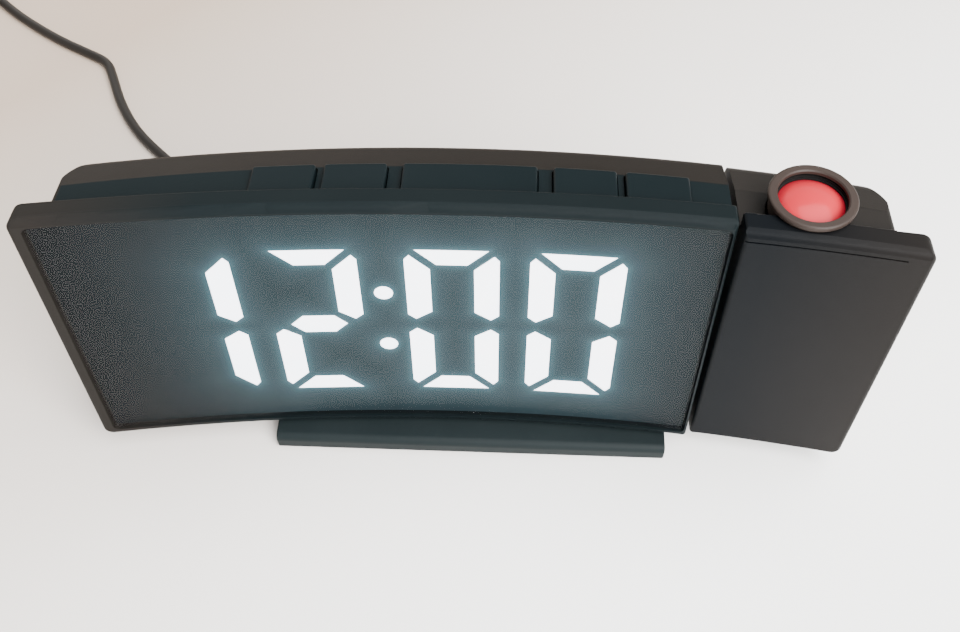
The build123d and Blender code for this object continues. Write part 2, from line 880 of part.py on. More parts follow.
with BuildPart() as back_cuts:
    add(rods(main_posts, head_well_radius, well_floor, past_back))
    add(rods(main_posts, screw_hole_radius, screw_tip, past_back))
    add(rods(speaker_place, cup_radius, -overrun, speaker_seat))
    add(rods(speaker_place, cup_radius - speaker_step, -overrun, speaker_seat + speaker_step / 2))
    for row in range(grille_rows):
        rise = (row - (grille_rows - 1) / 2) * grille_pitch
        reach = math.sqrt(grille_radius**2 - rise**2)
        low = speaker_level + rise - grille_slot / 2
        add(block_between(speaker_x - reach, speaker_x + reach, low, low + grille_slot, speaker_seat, past_back))
    add(block_between(*cell_box, cell_seat, past_back) - cell_ring.part)
    add(rods(jack_place, jack_port_radius, jack_back - overrun, past_back))
    add(block_between(shell_box[0] - port_gap, shell_box[1] + port_gap, shell_box[2] - port_gap,
                      shell_box[3] + port_gap, socket_back - overrun, past_back))


def turned(radius, left, right):
    """A round bar along the swivel's axis between two ends."""
    with BuildPart() as bar:
        with BuildSketch(Plane.YZ.offset(left)):
            with Locations((swivel_y, swivel_z)):
                Circle(radius)
        extrude(amount=right - left)
    return bar.part


base_screw_spots = [(-base_screw_x, base_screw_y), (base_screw_x, base_screw_y)]
with BuildPart() as rear_shell:
    add(main_outer)
    add(main_inner, mode=Mode.SUBTRACT)
    add(rear_fittings.part)
    add(posts_at(base_screw_spots, base_boss_radius, bottom_step, base_boss_top))
    add(back_cuts.part, mode=Mode.SUBTRACT)
    add(rounded_block(*door_box, -well_ahead, past_back, door_corner) & door_recess, mode=Mode.SUBTRACT)
    for centre, width in zip(button_centres, button_widths):
        add(column(button_plan(centre, width, button_clearance), deck_level - wall - overrun, deck_level + overrun),
            mode=Mode.SUBTRACT)
    add(turned(bush_radius + fit_gap, seam_x - wall - overrun, seam_x + overrun), mode=Mode.SUBTRACT)
    add(posts_at(base_screw_spots, screw_hole_radius, bottom_step - overrun, base_boss_top - wall),
        mode=Mode.SUBTRACT)

# Cell door: a curved cap flush with the back, with a shallow thumb notch at its top edge
with BuildPart() as battery_door:
    add(rounded_block(door_box[0] + door_gap, door_box[1] - door_gap, door_box[2] + door_gap, door_box[3] - door_gap,
                      -well_ahead, past_back, door_corner - door_gap) & door_skin)
    add(rods([(cell_x, door_box[3] - door_gap)], door_notch_radius, -well_ahead, past_back) & notch_skin,
        mode=Mode.SUBTRACT)


def pan_screws(places, seat, tip):
    """Cross-head screws along y, heads to the back, seated at one depth and pointing to another."""
    with BuildPart() as screws:
        add(rods(places, screw_radius, tip, seat + screw_head_height / 2))
        add(rods(places, screw_head_radius, seat, seat + screw_head_height))
        slot_front = seat + screw_head_height - screw_slot_depth
        for width, height in ((screw_slot_length, screw_slot_width), (screw_slot_width, screw_slot_length)):
            add(upright_prism(places, lambda: Rectangle(width, height), slot_front, seat + screw_head_height + overrun),
                mode=Mode.SUBTRACT)
    return screws.part


case_screws = pan_screws(main_posts, well_floor, screw_tip)
module_screws = pan_screws(module_posts, well_floor, screw_tip)

# Swivel: a bush in the seam wall, a hollow shaft from the projector end, and its washer and clip
washer_right = module_left
washer_left = seam_x + bush_stand + face_gap
bush_left = seam_x - wall - bush_flange_thickness
clip_right = bush_left - face_gap
shaft_left = clip_right - clip_thickness - shaft_tail
flange_left = module_left + wall
flange_right = flange_left + shaft_flange_thickness
with BuildPart() as swivel_bush:
    add(turned(bush_radius, bush_left, seam_x + bush_stand))
    add(turned(shaft_flange_radius, bush_left, seam_x - wall))
    add(turned(shaft_radius + running_gap, bush_left - overrun, washer_left), mode=Mode.SUBTRACT)
with BuildPart() as friction_washer:
    add(turned(shaft_flange_radius, washer_left, washer_right))
    add(turned(shaft_radius + running_gap, washer_left - overrun, washer_right + overrun), mode=Mode.SUBTRACT)
with BuildPart() as swivel_shaft:
    add(turned(shaft_radius, shaft_left, flange_right))
    add(turned(shaft_flange_radius, flange_left, flange_right))
    add(turned(shaft_radius + overrun, clip_right - clip_thickness, clip_right)
        - turned(shaft_radius - groove_depth, shaft_left, clip_right), mode=Mode.SUBTRACT)
    add(turned(shaft_bore, shaft_left - overrun, flange_right + overrun), mode=Mode.SUBTRACT)
with BuildPart() as swivel_clip:
    add(turned(clip_radius, clip_right - clip_thickness, clip_right))
    add(turned(shaft_radius - groove_depth + fit_gap, shaft_left, seam_x), mode=Mode.SUBTRACT)
    add(block_between(shaft_left, seam_x, swivel_z - 2 * clip_radius, swivel_z, swivel_y - clip_mouth / 2,
                      swivel_y + clip_mouth / 2), mode=Mode.SUBTRACT)

# Projector end, front: a tray with a fine line under its rolled top edge, cut away round the lens
lens_place = [(lens_x, lens_y)]
neck_way = posts_at(lens_place, ring_skirt_radius + neck_gap, deck_level - 2 * wall, plate_height + overrun)
with BuildPart() as tray_hollow:
    add(slab_plan(front_skin, past_back, module_left + wall, housing_half - wall))
    extrude(amount=plate_height)
    add(block_between(module_left + wall, housing_half - wall, bottom_step + wall, deck_level - wall,
                      -well_ahead, past_back), mode=Mode.INTERSECT)
with BuildPart() as behind_skin:
    add(slab_plan(front_skin - overrun, past_back, module_left, plate_half))
    extrude(amount=plate_height)
with BuildPart() as front_line:
    with BuildSketch(Plane.XY.offset(plate_height - front_line_drop - front_line_height / 2)):
        add(slab_plan(-overrun, front_line_depth, module_left - overrun, plate_half - front_line_end))
    extrude(amount=front_line_height)
with BuildPart() as module_front:
    add(front_plate(module_left, plate_half, 1))
    add(front_line.part, mode=Mode.SUBTRACT)
    add(tray_hollow.part, mode=Mode.SUBTRACT)
    add(rods(module_posts, post_radius, -well_ahead, post_split) & behind_skin.part)
    add(rods(module_posts, screw_hole_radius, post_split - screw_bite, post_split + overrun), mode=Mode.SUBTRACT)
    add(neck_way, mode=Mode.SUBTRACT)

# Projector end, back: housing with a shelf for the lamp board and a saddle behind the barrel
module_outer = housing(0, plate_depth, module_left, housing_half)
module_inner = housing(wall, plate_depth - overrun, module_left + wall, housing_half)
with BuildPart() as module_fittings:
    add(rods(module_posts, rear_post_radius, post_split, past_back))
    add(block_between(shelf_left, shelf_right, shelf_level - shelf_thickness, shelf_level, shelf_front, past_back))
    add(block_between(lens_x - saddle_half, lens_x + saddle_half, saddle_low, saddle_high, saddle_front, past_back))
    add(housing(wall / 2, front_skin, module_left, housing_half), mode=Mode.INTERSECT)
with BuildPart() as module_shell:
    add(module_outer)
    add(module_inner, mode=Mode.SUBTRACT)
    add(module_fittings.part)
    add(rods(module_posts, head_well_radius, well_floor, past_back), mode=Mode.SUBTRACT)
    add(rods(module_posts, screw_hole_radius, screw_tip, past_back), mode=Mode.SUBTRACT)
    add(neck_way, mode=Mode.SUBTRACT)
    add(posts_at(lens_place, barrel_radius + fit_gap, saddle_low - overrun, saddle_high + overrun),
        mode=Mode.SUBTRACT)
    add(turned(shaft_radius + fit_gap, module_left - overrun, flange_left + overrun), mode=Mode.SUBTRACT)

# Projector optics, bottom to top: lamp on its board, condenser, picture slide and lens
barrel_bore = barrel_radius - barrel_wall
optic_radius = barrel_bore - fit_gap


def crowned_lens(radius, low, edge, crown_radius):
    """A lens with a flat back and a crowned front, on the lens's upright axis."""
    sag = crown_radius - math.sqrt(crown_radius**2 - radius**2)
    with BuildPart() as lens:
        add(posts_at([(0, 0)], radius, low, low + edge + sag))
        with Locations((0, 0, low + edge + sag - crown_radius)):
            Sphere(crown_radius, mode=Mode.INTERSECT)
    return lens.part.moved(Location((lens_x, lens_y, 0)))


with BuildPart() as projector_board:
    add(block_between(shelf_left + shelf_margin, shelf_right - shelf_margin, shelf_level,
                      shelf_level + board_thickness, shelf_front + fit_gap, projector_board_back))
with BuildPart() as projector_lamp:
    lamp_seat = shelf_level + board_thickness
    add(block_between(lens_x - lamp_size / 2, lens_x + lamp_size / 2, lamp_seat, lamp_seat + lamp_height,
                      lens_y - lamp_size / 2, lens_y + lamp_size / 2))
with BuildPart() as lens_barrel:
    add(posts_at(lens_place, barrel_radius, barrel_bottom, barrel_top))
    add(posts_at(lens_place, barrel_bore, barrel_bottom - overrun, slide_level), mode=Mode.SUBTRACT)
    add(posts_at(lens_place, barrel_bore, slide_level + slide_frame_height, barrel_top + overrun),
        mode=Mode.SUBTRACT)
    add(block_between(lens_x - slide_size / 2, lens_x + slide_size / 2, slide_level - overrun,
                      slide_level + slide_frame_height + overrun, lens_y - slide_size / 2, lens_y + slide_size / 2),
        mode=Mode.SUBTRACT)
condenser_lens = crowned_lens(optic_radius, condenser_level, condenser_edge, condenser_crown_radius)
slide_half = slide_size / 2 - fit_gap
with BuildPart() as lcd_slide:
    add(block_between(lens_x - slide_half, lens_x + slide_half, slide_level, slide_level + slide_thickness,
                      lens_y - slide_half, lens_y + slide_half))
tube_radius = barrel_bore - running_gap
with BuildPart() as lens_cell:
    add(posts_at(lens_place, tube_radius, cell_tube_bottom, cell_tube_top))
    add(posts_at(lens_place, tube_radius - cell_tube_wall, cell_tube_bottom - overrun, lens_seat_level),
        mode=Mode.SUBTRACT)
    add(posts_at(lens_place, lens_radius + running_gap, lens_seat_level, cell_tube_top + overrun),
        mode=Mode.SUBTRACT)
projection_lens = crowned_lens(lens_radius, lens_seat_level, lens_edge, lens_crown_radius)

# Focus ring: a thin flange on a skirt that turns on the barrel's neck, sunk in the deck
ring_bore = barrel_radius + running_gap
lip_level = ring_top - ring_lip
with BuildPart() as focus_ring:
    add(posts_at(lens_place, ring_radius, ring_bottom, ring_top))
    fillet(focus_ring.faces().sort_by(Axis.Z)[-1].edges(), ring_round)
    fillet(focus_ring.faces().sort_by(Axis.Z)[0].edges(), ring_low_round)
    add(posts_at(lens_place, ring_skirt_radius, ring_skirt_bottom, ring_bottom + ring_round))
    add(posts_at(lens_place, ring_bore, ring_skirt_bottom - overrun, lip_level), mode=Mode.SUBTRACT)
    add(posts_at(lens_place, ring_mouth_radius, ring_bottom, ring_top + overrun), mode=Mode.SUBTRACT)
    mouth_edge = focus_ring.edges().filter_by(GeomType.CIRCLE).group_by(Axis.Z)[-1].sort_by(SortBy.RADIUS)[0]
    chamfer(mouth_edge, ring_mouth_flare)

# Base: a slab on rubber feet with a leaning plinth under the case, a steel weight and a cover
slab_low = foot_show
base_head_top = -base_head_drop
roof_under = base_top - base_roof
with BuildPart() as base_slab:
    with BuildSketch(Plane.YZ.offset(-base_width / 2)) as base_side:
        with Locations((base_middle, slab_low + base_height / 2)):
            Rectangle(base_depth, base_height)
        fillet(base_side.vertices().group_by(Axis.Y)[-1], base_edge_round)
    extrude(amount=base_width)
    fillet(base_slab.faces().filter_by(Axis.X).edges(), base_end_round)
with BuildPart() as plinth:
    with BuildSketch(Plane.XY.offset(-plinth_sink)):
        with Locations((0, plinth_front + plinth_depth / 2)):
            RectangleRounded(plinth_width, plinth_depth, plinth_round)
    extrude(amount=plinth_sink + bottom_step)
    plinth.part = plinth.part.moved(case_stand)
leaning_screw_holes = posts_at(base_screw_spots, screw_hole_radius, -base_depth, bottom_step + overrun).moved(case_stand)
with BuildPart() as base_shell:
    add(base_slab.part)
    add(plinth.part)
    with BuildSketch(Plane((0, base_middle, slab_low - overrun))):
        RectangleRounded(base_width - 2 * base_wall, base_depth - 2 * base_wall, base_inner_corner)
    extrude(amount=roof_under - slab_low + overrun, mode=Mode.SUBTRACT)
    add(leaning_screw_holes, mode=Mode.SUBTRACT)
cover_inset = base_wall + fit_gap
foot_x = base_width / 2 - foot_inset_x
foot_y = base_depth / 2 - foot_inset_y
foot_places = [(x, base_middle + y) for x in (-foot_x, foot_x) for y in (-foot_y, foot_y)]
with BuildPart() as rubber_feet:
    add(posts_at(foot_places, foot_radius, 0, foot_height))
    fillet(rubber_feet.faces().group_by(Axis.Z)[0].edges(), foot_show / 2)
with BuildPart() as base_cover:
    with BuildSketch(Plane((0, base_middle, slab_low))):
        RectangleRounded(base_width - 2 * cover_inset, base_depth - 2 * cover_inset, base_inner_corner - fit_gap)
    extrude(amount=cover_thickness)
    add(posts_at(foot_places, foot_radius + fit_gap, 0, foot_height), mode=Mode.SUBTRACT)
weight_low = slab_low + cover_thickness
screw_line = (case_stand * Location((0, base_screw_y, base_head_top))).position.Y - base_middle
weight_width = base_width - 2 * base_wall - 2 * weight_clearance
weight_depth = base_depth - 2 * base_wall - 2 * weight_clearance
with BuildPart() as base_weight:
    with BuildSketch(Plane((0, base_middle, weight_low))):
        RectangleRounded(weight_width, weight_depth, base_inner_corner)
        with Locations(*[(x, screw_line) for x, y in base_screw_spots]):
            Circle(weight_hole_radius, mode=Mode.SUBTRACT)
    extrude(amount=roof_under - weight_low)
with BuildPart() as base_screws:
    add(posts_at(base_screw_spots, screw_radius, base_head_top - screw_head_height / 2, base_boss_top - 2 * wall))
    add(posts_at(base_screw_spots, screw_head_radius, base_head_top - screw_head_height, base_head_top))


# Power plug in the jack: a hollow metal barrel, a moulded body and its tapered sleeve
def ring_sketch(radius, back):
    """A disc across the plug's axis, at a depth."""
    with BuildSketch(Plane.XZ.offset(-back)) as disc:
        with Locations(jack_place[0]):
            Circle(radius)
    return disc.sketch


jack_face = crease_y(housing_depth - crease_depth - heel_rake, jack_x)
plug_front = jack_face + plug_stand_off
plug_back = plug_front + plug_body_length
relief_back = plug_back + relief_length
with BuildPart() as plug_barrel:
    add(rods(jack_place, plug_barrel_radius, plug_front - plug_barrel_length, plug_front))
    add(rods(jack_place, plug_bore_radius, -overrun, plug_front + overrun), mode=Mode.SUBTRACT)
with BuildPart() as plug_body:
    add(rods(jack_place, plug_body_radius, plug_front, plug_back))
    fillet(plug_body.faces().sort_by(Axis.Y)[-1].edges(), plug_body_round)
    add(ring_sketch(relief_root_radius, plug_back))
    add(ring_sketch(relief_tip_radius, relief_back))
    loft()
cord_exit = (case_stand * Location((jack_x, relief_back, jack_level))).position


def cord_radii(points):
    """Radius of each turn of the cord, from the shorter of its two runs and the turn's angle."""
    radii = []
    for before, corner, after in zip(points, points[1:], points[2:]):
        run_in = Vector(*corner) - Vector(*before)
        run_out = Vector(*after) - Vector(*corner)
        turn = math.radians(run_in.get_angle(run_out))
        radii.append(cord_curve_share * min(run_in.length, run_out.length) / math.tan(turn / 2))
    return radii


def cord_tube(points):
    """A plain tube along straight runs joined by tangent arcs, and its length."""
    heading = Vector(*points[1]) - Vector(*points[0])
    with BuildPart() as tube:
        with BuildLine() as route:
            FilletPolyline(*points, radius=cord_radii(points))
        with BuildSketch(Plane(origin=points[0], z_dir=heading)):
            Circle(cord_diameter / 2)
        path = Wire(route.edges())
        sweep(path=path)
    return tube.part, path.length


# Coil: two layers of loops, spiralling in below and out again above, each half turn an arc
heading_angle = math.radians(coil_heading)
coil_run = Vector(math.cos(heading_angle), math.sin(heading_angle), 0)
coil_side = Vector(math.sin(heading_angle), -math.cos(heading_angle), 0)
coil_outer = coil_inner + coil_half_turns * coil_half_pitch
coil_middle = Vector(*coil_centre, 0)


def coil_knots():
    """Ends of the half turns of the coil, from the outside in and out again."""
    knots = []
    for index in range(2 * coil_half_turns + 2):
        below = index <= coil_half_turns
        steps = index if below else 2 * coil_half_turns + 1 - index
        radius = coil_outer - coil_half_pitch * steps
        side = coil_side if index % 2 == 0 else -coil_side
        level = coil_low if below else coil_low + coil_step
        knots.append(coil_middle + side * radius + Vector(0, 0, level))
    return knots


knots = coil_knots()
coil_entry = knots[0] - coil_run * cord_diameter
last_run = coil_run if len(knots) % 2 else -coil_run
coil_exit = knots[-1] + last_run * cord_diameter
with BuildPart() as cord_coil:
    with BuildLine() as coil_route:
        Line(coil_entry, knots[0])
        for index, (start, end) in enumerate(zip(knots, knots[1:])):
            along = coil_run if index % 2 == 0 else -coil_run
            reach = (end - start).length / 2
            if index == coil_half_turns:
                join = (start + end) / 2 + along * reach
                TangentArc(start, join, tangent=along)
                TangentArc(join, end, tangent=end - start)
            else:
                TangentArc(start, end, tangent=along)
        Line(knots[-1], coil_exit)
    with BuildSketch(Plane(origin=coil_entry, z_dir=coil_run)):
        Circle(cord_diameter / 2)
    coil_path = Wire(coil_route.edges())
    sweep(path=coil_path)
coil_length = coil_path.length

lead_route = [tuple(cord_exit)] + cord_points + [tuple(coil_entry)]
tail_route = [tuple(coil_exit)] + tail_points
power_cord, cord_length = cord_tube(lead_route)
cord_tail, tail_length = cord_tube(tail_route)

# Tie: a flat band round all the loops of the coil
tie_inner = coil_inner - cord_diameter / 2 - tie_gap
tie_outer = coil_outer + cord_diameter / 2 + tie_gap
tie_top = coil_low + coil_step + cord_diameter / 2 + tie_gap
tie_low = coil_low - cord_diameter / 2 - tie_gap
tie_plane = Plane(origin=coil_middle, x_dir=coil_run, z_dir=coil_side)
tie_centre = ((tie_inner + tie_outer) / 2, (tie_low + tie_top) / 2)
tie_width_across = tie_outer - tie_inner
with BuildPart() as cord_tie:
    with BuildSketch(tie_plane.offset(-tie_width / 2)):
        with Locations(tie_centre):
            RectangleRounded(tie_width_across + 2 * tie_thickness, tie_top - tie_low + 2 * tie_thickness, tie_corner)
            RectangleRounded(tie_width_across, tie_top - tie_low, tie_corner - tie_thickness, mode=Mode.SUBTRACT)
    extrude(amount=tie_width)

# USB plug at the far end: a moulded body on a short sleeve, with a folded steel shell and a tongue
usb_run = (Vector(*tail_points[-1]) - Vector(*tail_points[-2])).normalized()
usb_across = Vector(-usb_run.Y, usb_run.X, 0)
usb_start = Plane(origin=tail_points[-1], x_dir=usb_across, z_dir=usb_run)
body_start = usb_start.offset(usb_lead_length)
shell_start = body_start.offset(usb_body_length)
with BuildPart() as usb_plug_body:
    with BuildSketch(body_start):
        Rectangle(usb_body_width, usb_body_height)
    extrude(amount=usb_body_length)
    fillet(usb_plug_body.edges(), usb_body_round)
    with BuildSketch(usb_start):
        Circle(usb_lead_tip_radius)
    with BuildSketch(body_start):
        Circle(usb_lead_root_radius)
    loft()
    with BuildSketch(shell_start):
        with Locations((0, (usb_shell_height - usb_tongue_height) / 2 - usb_shell_wall - fit_gap)):
            Rectangle(usb_tongue_width, usb_tongue_height)
    extrude(amount=usb_shell_length - usb_shell_wall)
with BuildPart() as usb_plug_shell:
    with BuildSketch(shell_start):
        Rectangle(usb_shell_width, usb_shell_height)
        offset(amount=-usb_shell_wall, mode=Mode.SUBTRACT)
    extrude(amount=usb_shell_length)
# Each piece is stood in its place, labelled and written out
case_pieces = {
    "front_bezel": front_bezel,
    "display_window": display_window,
    "light_box": light_box,
    "lit_segments": lit_bars_part,
    "unlit_segments": dark_bars_part,
    "colon_dots": colon_dots,
    "display_board": display_board,
    "display_leds": display_leds,
    "rear_shell": rear_shell,
    "main_board": main_board,
    "board_spacers": board_spacers,
    "board_parts": board_parts,
    "power_jack": power_jack,
    "usb_socket": usb_socket,
    "usb_socket_tongue": usb_tongue,
    "coin_cell": coin_cell,
    "battery_door": battery_door,
    "speaker": speaker,
    "speaker_magnet": speaker_magnet,
    "button_board": button_board,
    "tact_switches": tact_switches,
    "case_screws": case_screws,
    "base_screws": base_screws,
    "swivel_bush": swivel_bush,
    "plug_barrel": plug_barrel,
    "plug_body": plug_body,
}
for name in button_names:
    case_pieces[f"button_{name}"] = button_caps[name]
    case_pieces[f"plunger_{name}"] = switch_plungers[name]
module_pieces = {
    "module_front": module_front,
    "module_shell": module_shell,
    "friction_washer": friction_washer,
    "swivel_shaft": swivel_shaft,
    "swivel_clip": swivel_clip,
    "module_screws": module_screws,
    "projector_board": projector_board,
    "projector_lamp": projector_lamp,
    "lens_barrel": lens_barrel,
    "condenser_lens": condenser_lens,
    "lcd_slide": lcd_slide,
    "lens_cell": lens_cell,
    "projection_lens": projection_lens,
    "focus_ring": focus_ring,
}
table_pieces = {
    "base_shell": base_shell,
    "base_weight": base_weight,
    "base_cover": base_cover,
    "rubber_feet": rubber_feet,
    "power_cord": power_cord,
    "cord_coil": cord_coil,
    "cord_tail": cord_tail,
    "cord_tie": cord_tie,
    "usb_plug_body": usb_plug_body,
    "usb_plug_shell": usb_plug_shell,
}
for pieces, stand in ((case_pieces, case_stand), (module_pieces, module_stand), (table_pieces, Location())):
    for name, piece in pieces.items():
        placed = (piece.part if isinstance(piece, BuildPart) else piece).moved(stand)
        placed.label = name
        export_step(placed, f"parts/{name}.step")

# Figures for the record: the joints' places and the cord's lengths, radii and gaps
case_up = (case_stand * Location((0, 0, 1))).position - case_stand.position
case_back = (case_stand * Location((0, 1, 0))).position - case_stand.position
module_up = (module_stand * Location((0, 0, 1))).position - module_stand.position
print("case up", tuple(case_up), "case back", tuple(case_back), "module up", tuple(module_up))
print("swivel at", tuple((case_stand * Location((seam_x, swivel_y, swivel_z))).position))
print("lens axis at", tuple((module_stand * Location((lens_x, lens_y, ring_bottom))).position))
print("cord exit", tuple(cord_exit), "coil from", tuple(coil_entry), "to", tuple(coil_exit))
print("cord radii", [round(radius, 1) for radius in cord_radii(lead_route)])
print("tail radii", [round(radius, 1) for radius in cord_radii(tail_route)])
print("lengths", round(cord_length, 1), round(coil_length, 1), round(tail_length, 1))
section = math.pi * (cord_diameter / 2) ** 2
for name, piece, length in (("cord", power_cord, cord_length), ("coil", cord_coil.part, coil_length),
                            ("tail", cord_tail, tail_length)):
    print(name, "volume", round(piece.volume, 1), "section by length", round(section * length, 1))
samples = [coil_path.position_at(index / coil_samples) for index in range(coil_samples + 1)]
apart = round(coil_samples * math.pi * coil_inner / coil_length)
least = min(
    (samples[i] - samples[j]).length
    for i in range(0, len(samples), 2) for j in range(i + apart, len(samples)))
print("least gap between loops", round(least - cord_diameter, 3))
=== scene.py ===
import bmesh
import bpy
import math
from mathutils import Matrix, Vector


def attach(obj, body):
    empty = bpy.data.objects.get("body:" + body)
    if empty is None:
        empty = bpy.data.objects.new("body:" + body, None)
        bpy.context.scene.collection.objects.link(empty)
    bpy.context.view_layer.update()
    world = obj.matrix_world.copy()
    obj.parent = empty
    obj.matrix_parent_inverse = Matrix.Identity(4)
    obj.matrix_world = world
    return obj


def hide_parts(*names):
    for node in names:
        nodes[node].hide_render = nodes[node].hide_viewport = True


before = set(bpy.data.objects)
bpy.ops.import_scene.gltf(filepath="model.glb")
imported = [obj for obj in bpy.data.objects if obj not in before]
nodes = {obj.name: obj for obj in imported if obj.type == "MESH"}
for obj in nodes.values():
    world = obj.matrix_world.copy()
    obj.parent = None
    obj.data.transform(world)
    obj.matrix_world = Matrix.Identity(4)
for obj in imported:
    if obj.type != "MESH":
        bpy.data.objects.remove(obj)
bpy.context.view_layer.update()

# Camera: held by hand a little to the right of the clock's middle, above it and in front.
# It looks down at the display and is turned by a degree or so.
eye = Vector((0.010487, -0.159672, 0.261601))
pitch = 0.9580
yaw = -0.0519289
roll = -0.0134074
ahead = Vector((math.sin(yaw) * math.cos(pitch), math.cos(yaw) * math.cos(pitch), -math.sin(pitch)))
level = Vector((math.cos(yaw), -math.sin(yaw), 0.0))
upright = level.cross(ahead)
across = level * math.cos(roll) + upright * math.sin(roll)
upward = upright * math.cos(roll) - level * math.sin(roll)
camera = bpy.data.objects.new("camera", bpy.data.cameras.new("camera"))
camera.data.sensor_width = 36.0
camera.data.lens = 39.54
camera.data.clip_start = 0.01
camera.matrix_world = Matrix((
    (across.x, upward.x, -ahead.x, eye.x),
    (across.y, upward.y, -ahead.y, eye.y),
    (across.z, upward.z, -ahead.z, eye.z),
    (0, 0, 0, 1)))
bpy.context.scene.collection.objects.link(camera)
bpy.context.scene.camera = camera


# Floor: one wide sheet of matt painted board, near white at the front right. Its colour turns
# browner towards the back left, which is painted shade, and its paint is a little uneven.
floor_half = 4.0
floor_white = (0.95, 0.945, 0.93)
floor_painted_shade_brown = (0.40, 0.295, 0.215)
to_front_right = (0.74, -0.67, 0.0)
paint_unevenness = 0.16


def feed(tree, node, feeds):
    """Feeds a node's inputs: another node's output is linked, a number or colour is set."""
    for label, source in feeds.items():
        if isinstance(source, bpy.types.NodeSocket):
            tree.links.new(source, node.inputs[label])
        else:
            node.inputs[label].default_value = source


def add_node(tree, kind, feeds=None, **settings):
    """A shader node with its settings made first and its inputs fed after that."""
    node = tree.nodes.new(kind)
    for name, value in settings.items():
        setattr(node, name, value)
    feed(tree, node, feeds or {})
    return node


def blend(tree, share, first, second):
    """Two colours mixed by a share. A Mix node takes them at inputs 6 and 7 and gives output 2."""
    colours = [
        source if isinstance(source, bpy.types.NodeSocket) else (*source, 1) for source in (first, second)]
    mix = add_node(tree, "ShaderNodeMix", {0: share, 6: colours[0], 7: colours[1]}, data_type="RGBA")
    return mix.outputs[2]


def new_finish(name):
    """A material, with its node tree and its shader."""
    finish = bpy.data.materials.new(name)
    finish.use_nodes = True
    return finish, finish.node_tree, finish.node_tree.nodes["Principled BSDF"]


floor_mesh = bpy.data.meshes.new("floor")
floor_mesh.from_pydata([
    (-floor_half, -floor_half, 0), (floor_half, -floor_half, 0), (floor_half, floor_half, 0),
    (-floor_half, floor_half, 0)], [], [(0, 1, 2, 3)])
floor = bpy.data.objects.new("floor", floor_mesh)
bpy.context.scene.collection.objects.link(floor)
floor_paint_and_painted_shade, tree, shader = new_finish("floor_paint_and_painted_shade")
place = add_node(tree, "ShaderNodeTexCoord").outputs["Object"]
slope = add_node(tree, "ShaderNodeVectorMath", {0: place, 1: to_front_right}, operation="DOT_PRODUCT")
# Painted shade: the colour darkens from near white at the front right to brown at the back left.
painted_shade_fade = add_node(
    tree, "ShaderNodeMapRange", {"Value": slope.outputs["Value"], "From Min": -0.20, "From Max": 0.11})
mottle = add_node(tree, "ShaderNodeTexNoise", {"Vector": place, "Scale": 6.0, "Detail": 4.0})
mottle_and_fade = add_node(
    tree, "ShaderNodeMath", {0: mottle.outputs["Fac"], 1: paint_unevenness, 2: painted_shade_fade.outputs["Result"]},
    operation="MULTIPLY_ADD")
feed(tree, shader, {
    "Base Color": blend(tree, mottle_and_fade.outputs[0], floor_painted_shade_brown, floor_white),
    "Roughness": 0.85, "Specular IOR Level": 0.2})
floor_mesh.materials.append(floor_paint_and_painted_shade)

# Room and lights: a bright warm room, darker and bluer overhead than round the horizon, so that
# the glossy window mirrors less of it. Three wide soft lamps give light from above, front and back.
wall_white = (1.0, 0.955, 0.91)
overhead_blue = (0.22, 0.30, 0.34)
lit_spot = Vector((0, 0.05, 0))
world = bpy.data.worlds.new("room")
bpy.context.scene.world = world
world.use_nodes = True
tree = world.node_tree
place = add_node(tree, "ShaderNodeTexCoord").outputs["Generated"]
height = add_node(tree, "ShaderNodeSeparateXYZ", {"Vector": place})
climb = add_node(
    tree, "ShaderNodeMapRange", {"Value": height.outputs["Z"], "From Min": 0.35, "From Max": 0.80})
feed(tree, tree.nodes["Background"], {
    "Color": blend(tree, climb.outputs["Result"], wall_white, overhead_blue), "Strength": 1.1})
for label, spot, size, power, warmth in (
        ("ceiling_light", (0.45, 0.10, 1.3), 1.2, 40.0, (1.0, 0.985, 0.97)),
        ("window_light", (0.6, -0.75, 0.8), 0.9, 60.0, (1.0, 0.99, 0.985)),
        ("fill_light", (-0.5, 0.9, 0.45), 0.8, 3.0, (1.0, 0.95, 0.9))):
    lamp = bpy.data.objects.new(label, bpy.data.lights.new(label, "AREA"))
    lamp.data.size = size
    lamp.data.energy = power
    lamp.data.color = warmth
    lamp.location = spot
    lamp.rotation_euler = (lit_spot - Vector(spot)).to_track_quat("-Z", "Y").to_euler()
    bpy.context.scene.collection.objects.link(lamp)


# Rear shell and battery door: the back of the clock, moulded in black ABS with a fine matt grain.
# Screws hold the shell to the bezel and the door clips into it. Where the shell faces straight up,
# on the deck round the buttons, the display's blue light is painted into its colour.
shell_dark = (0.0064, 0.0052, 0.0044)
shell_light = (0.0094, 0.0080, 0.0068)
deck_painted_display_light = (0.0022, 0.0052, 0.0062)


def node_group(name, inputs, outputs):
    """An empty shader group with its sockets, and its input and output nodes."""
    group = bpy.data.node_groups.new(name, "ShaderNodeTree")
    for label, kind in inputs:
        group.interface.new_socket(label, in_out="INPUT", socket_type=kind)
    for label, kind in outputs:
        group.interface.new_socket(label, in_out="OUTPUT", socket_type=kind)
    return group, group.nodes.new("NodeGroupInput"), group.nodes.new("NodeGroupOutput")


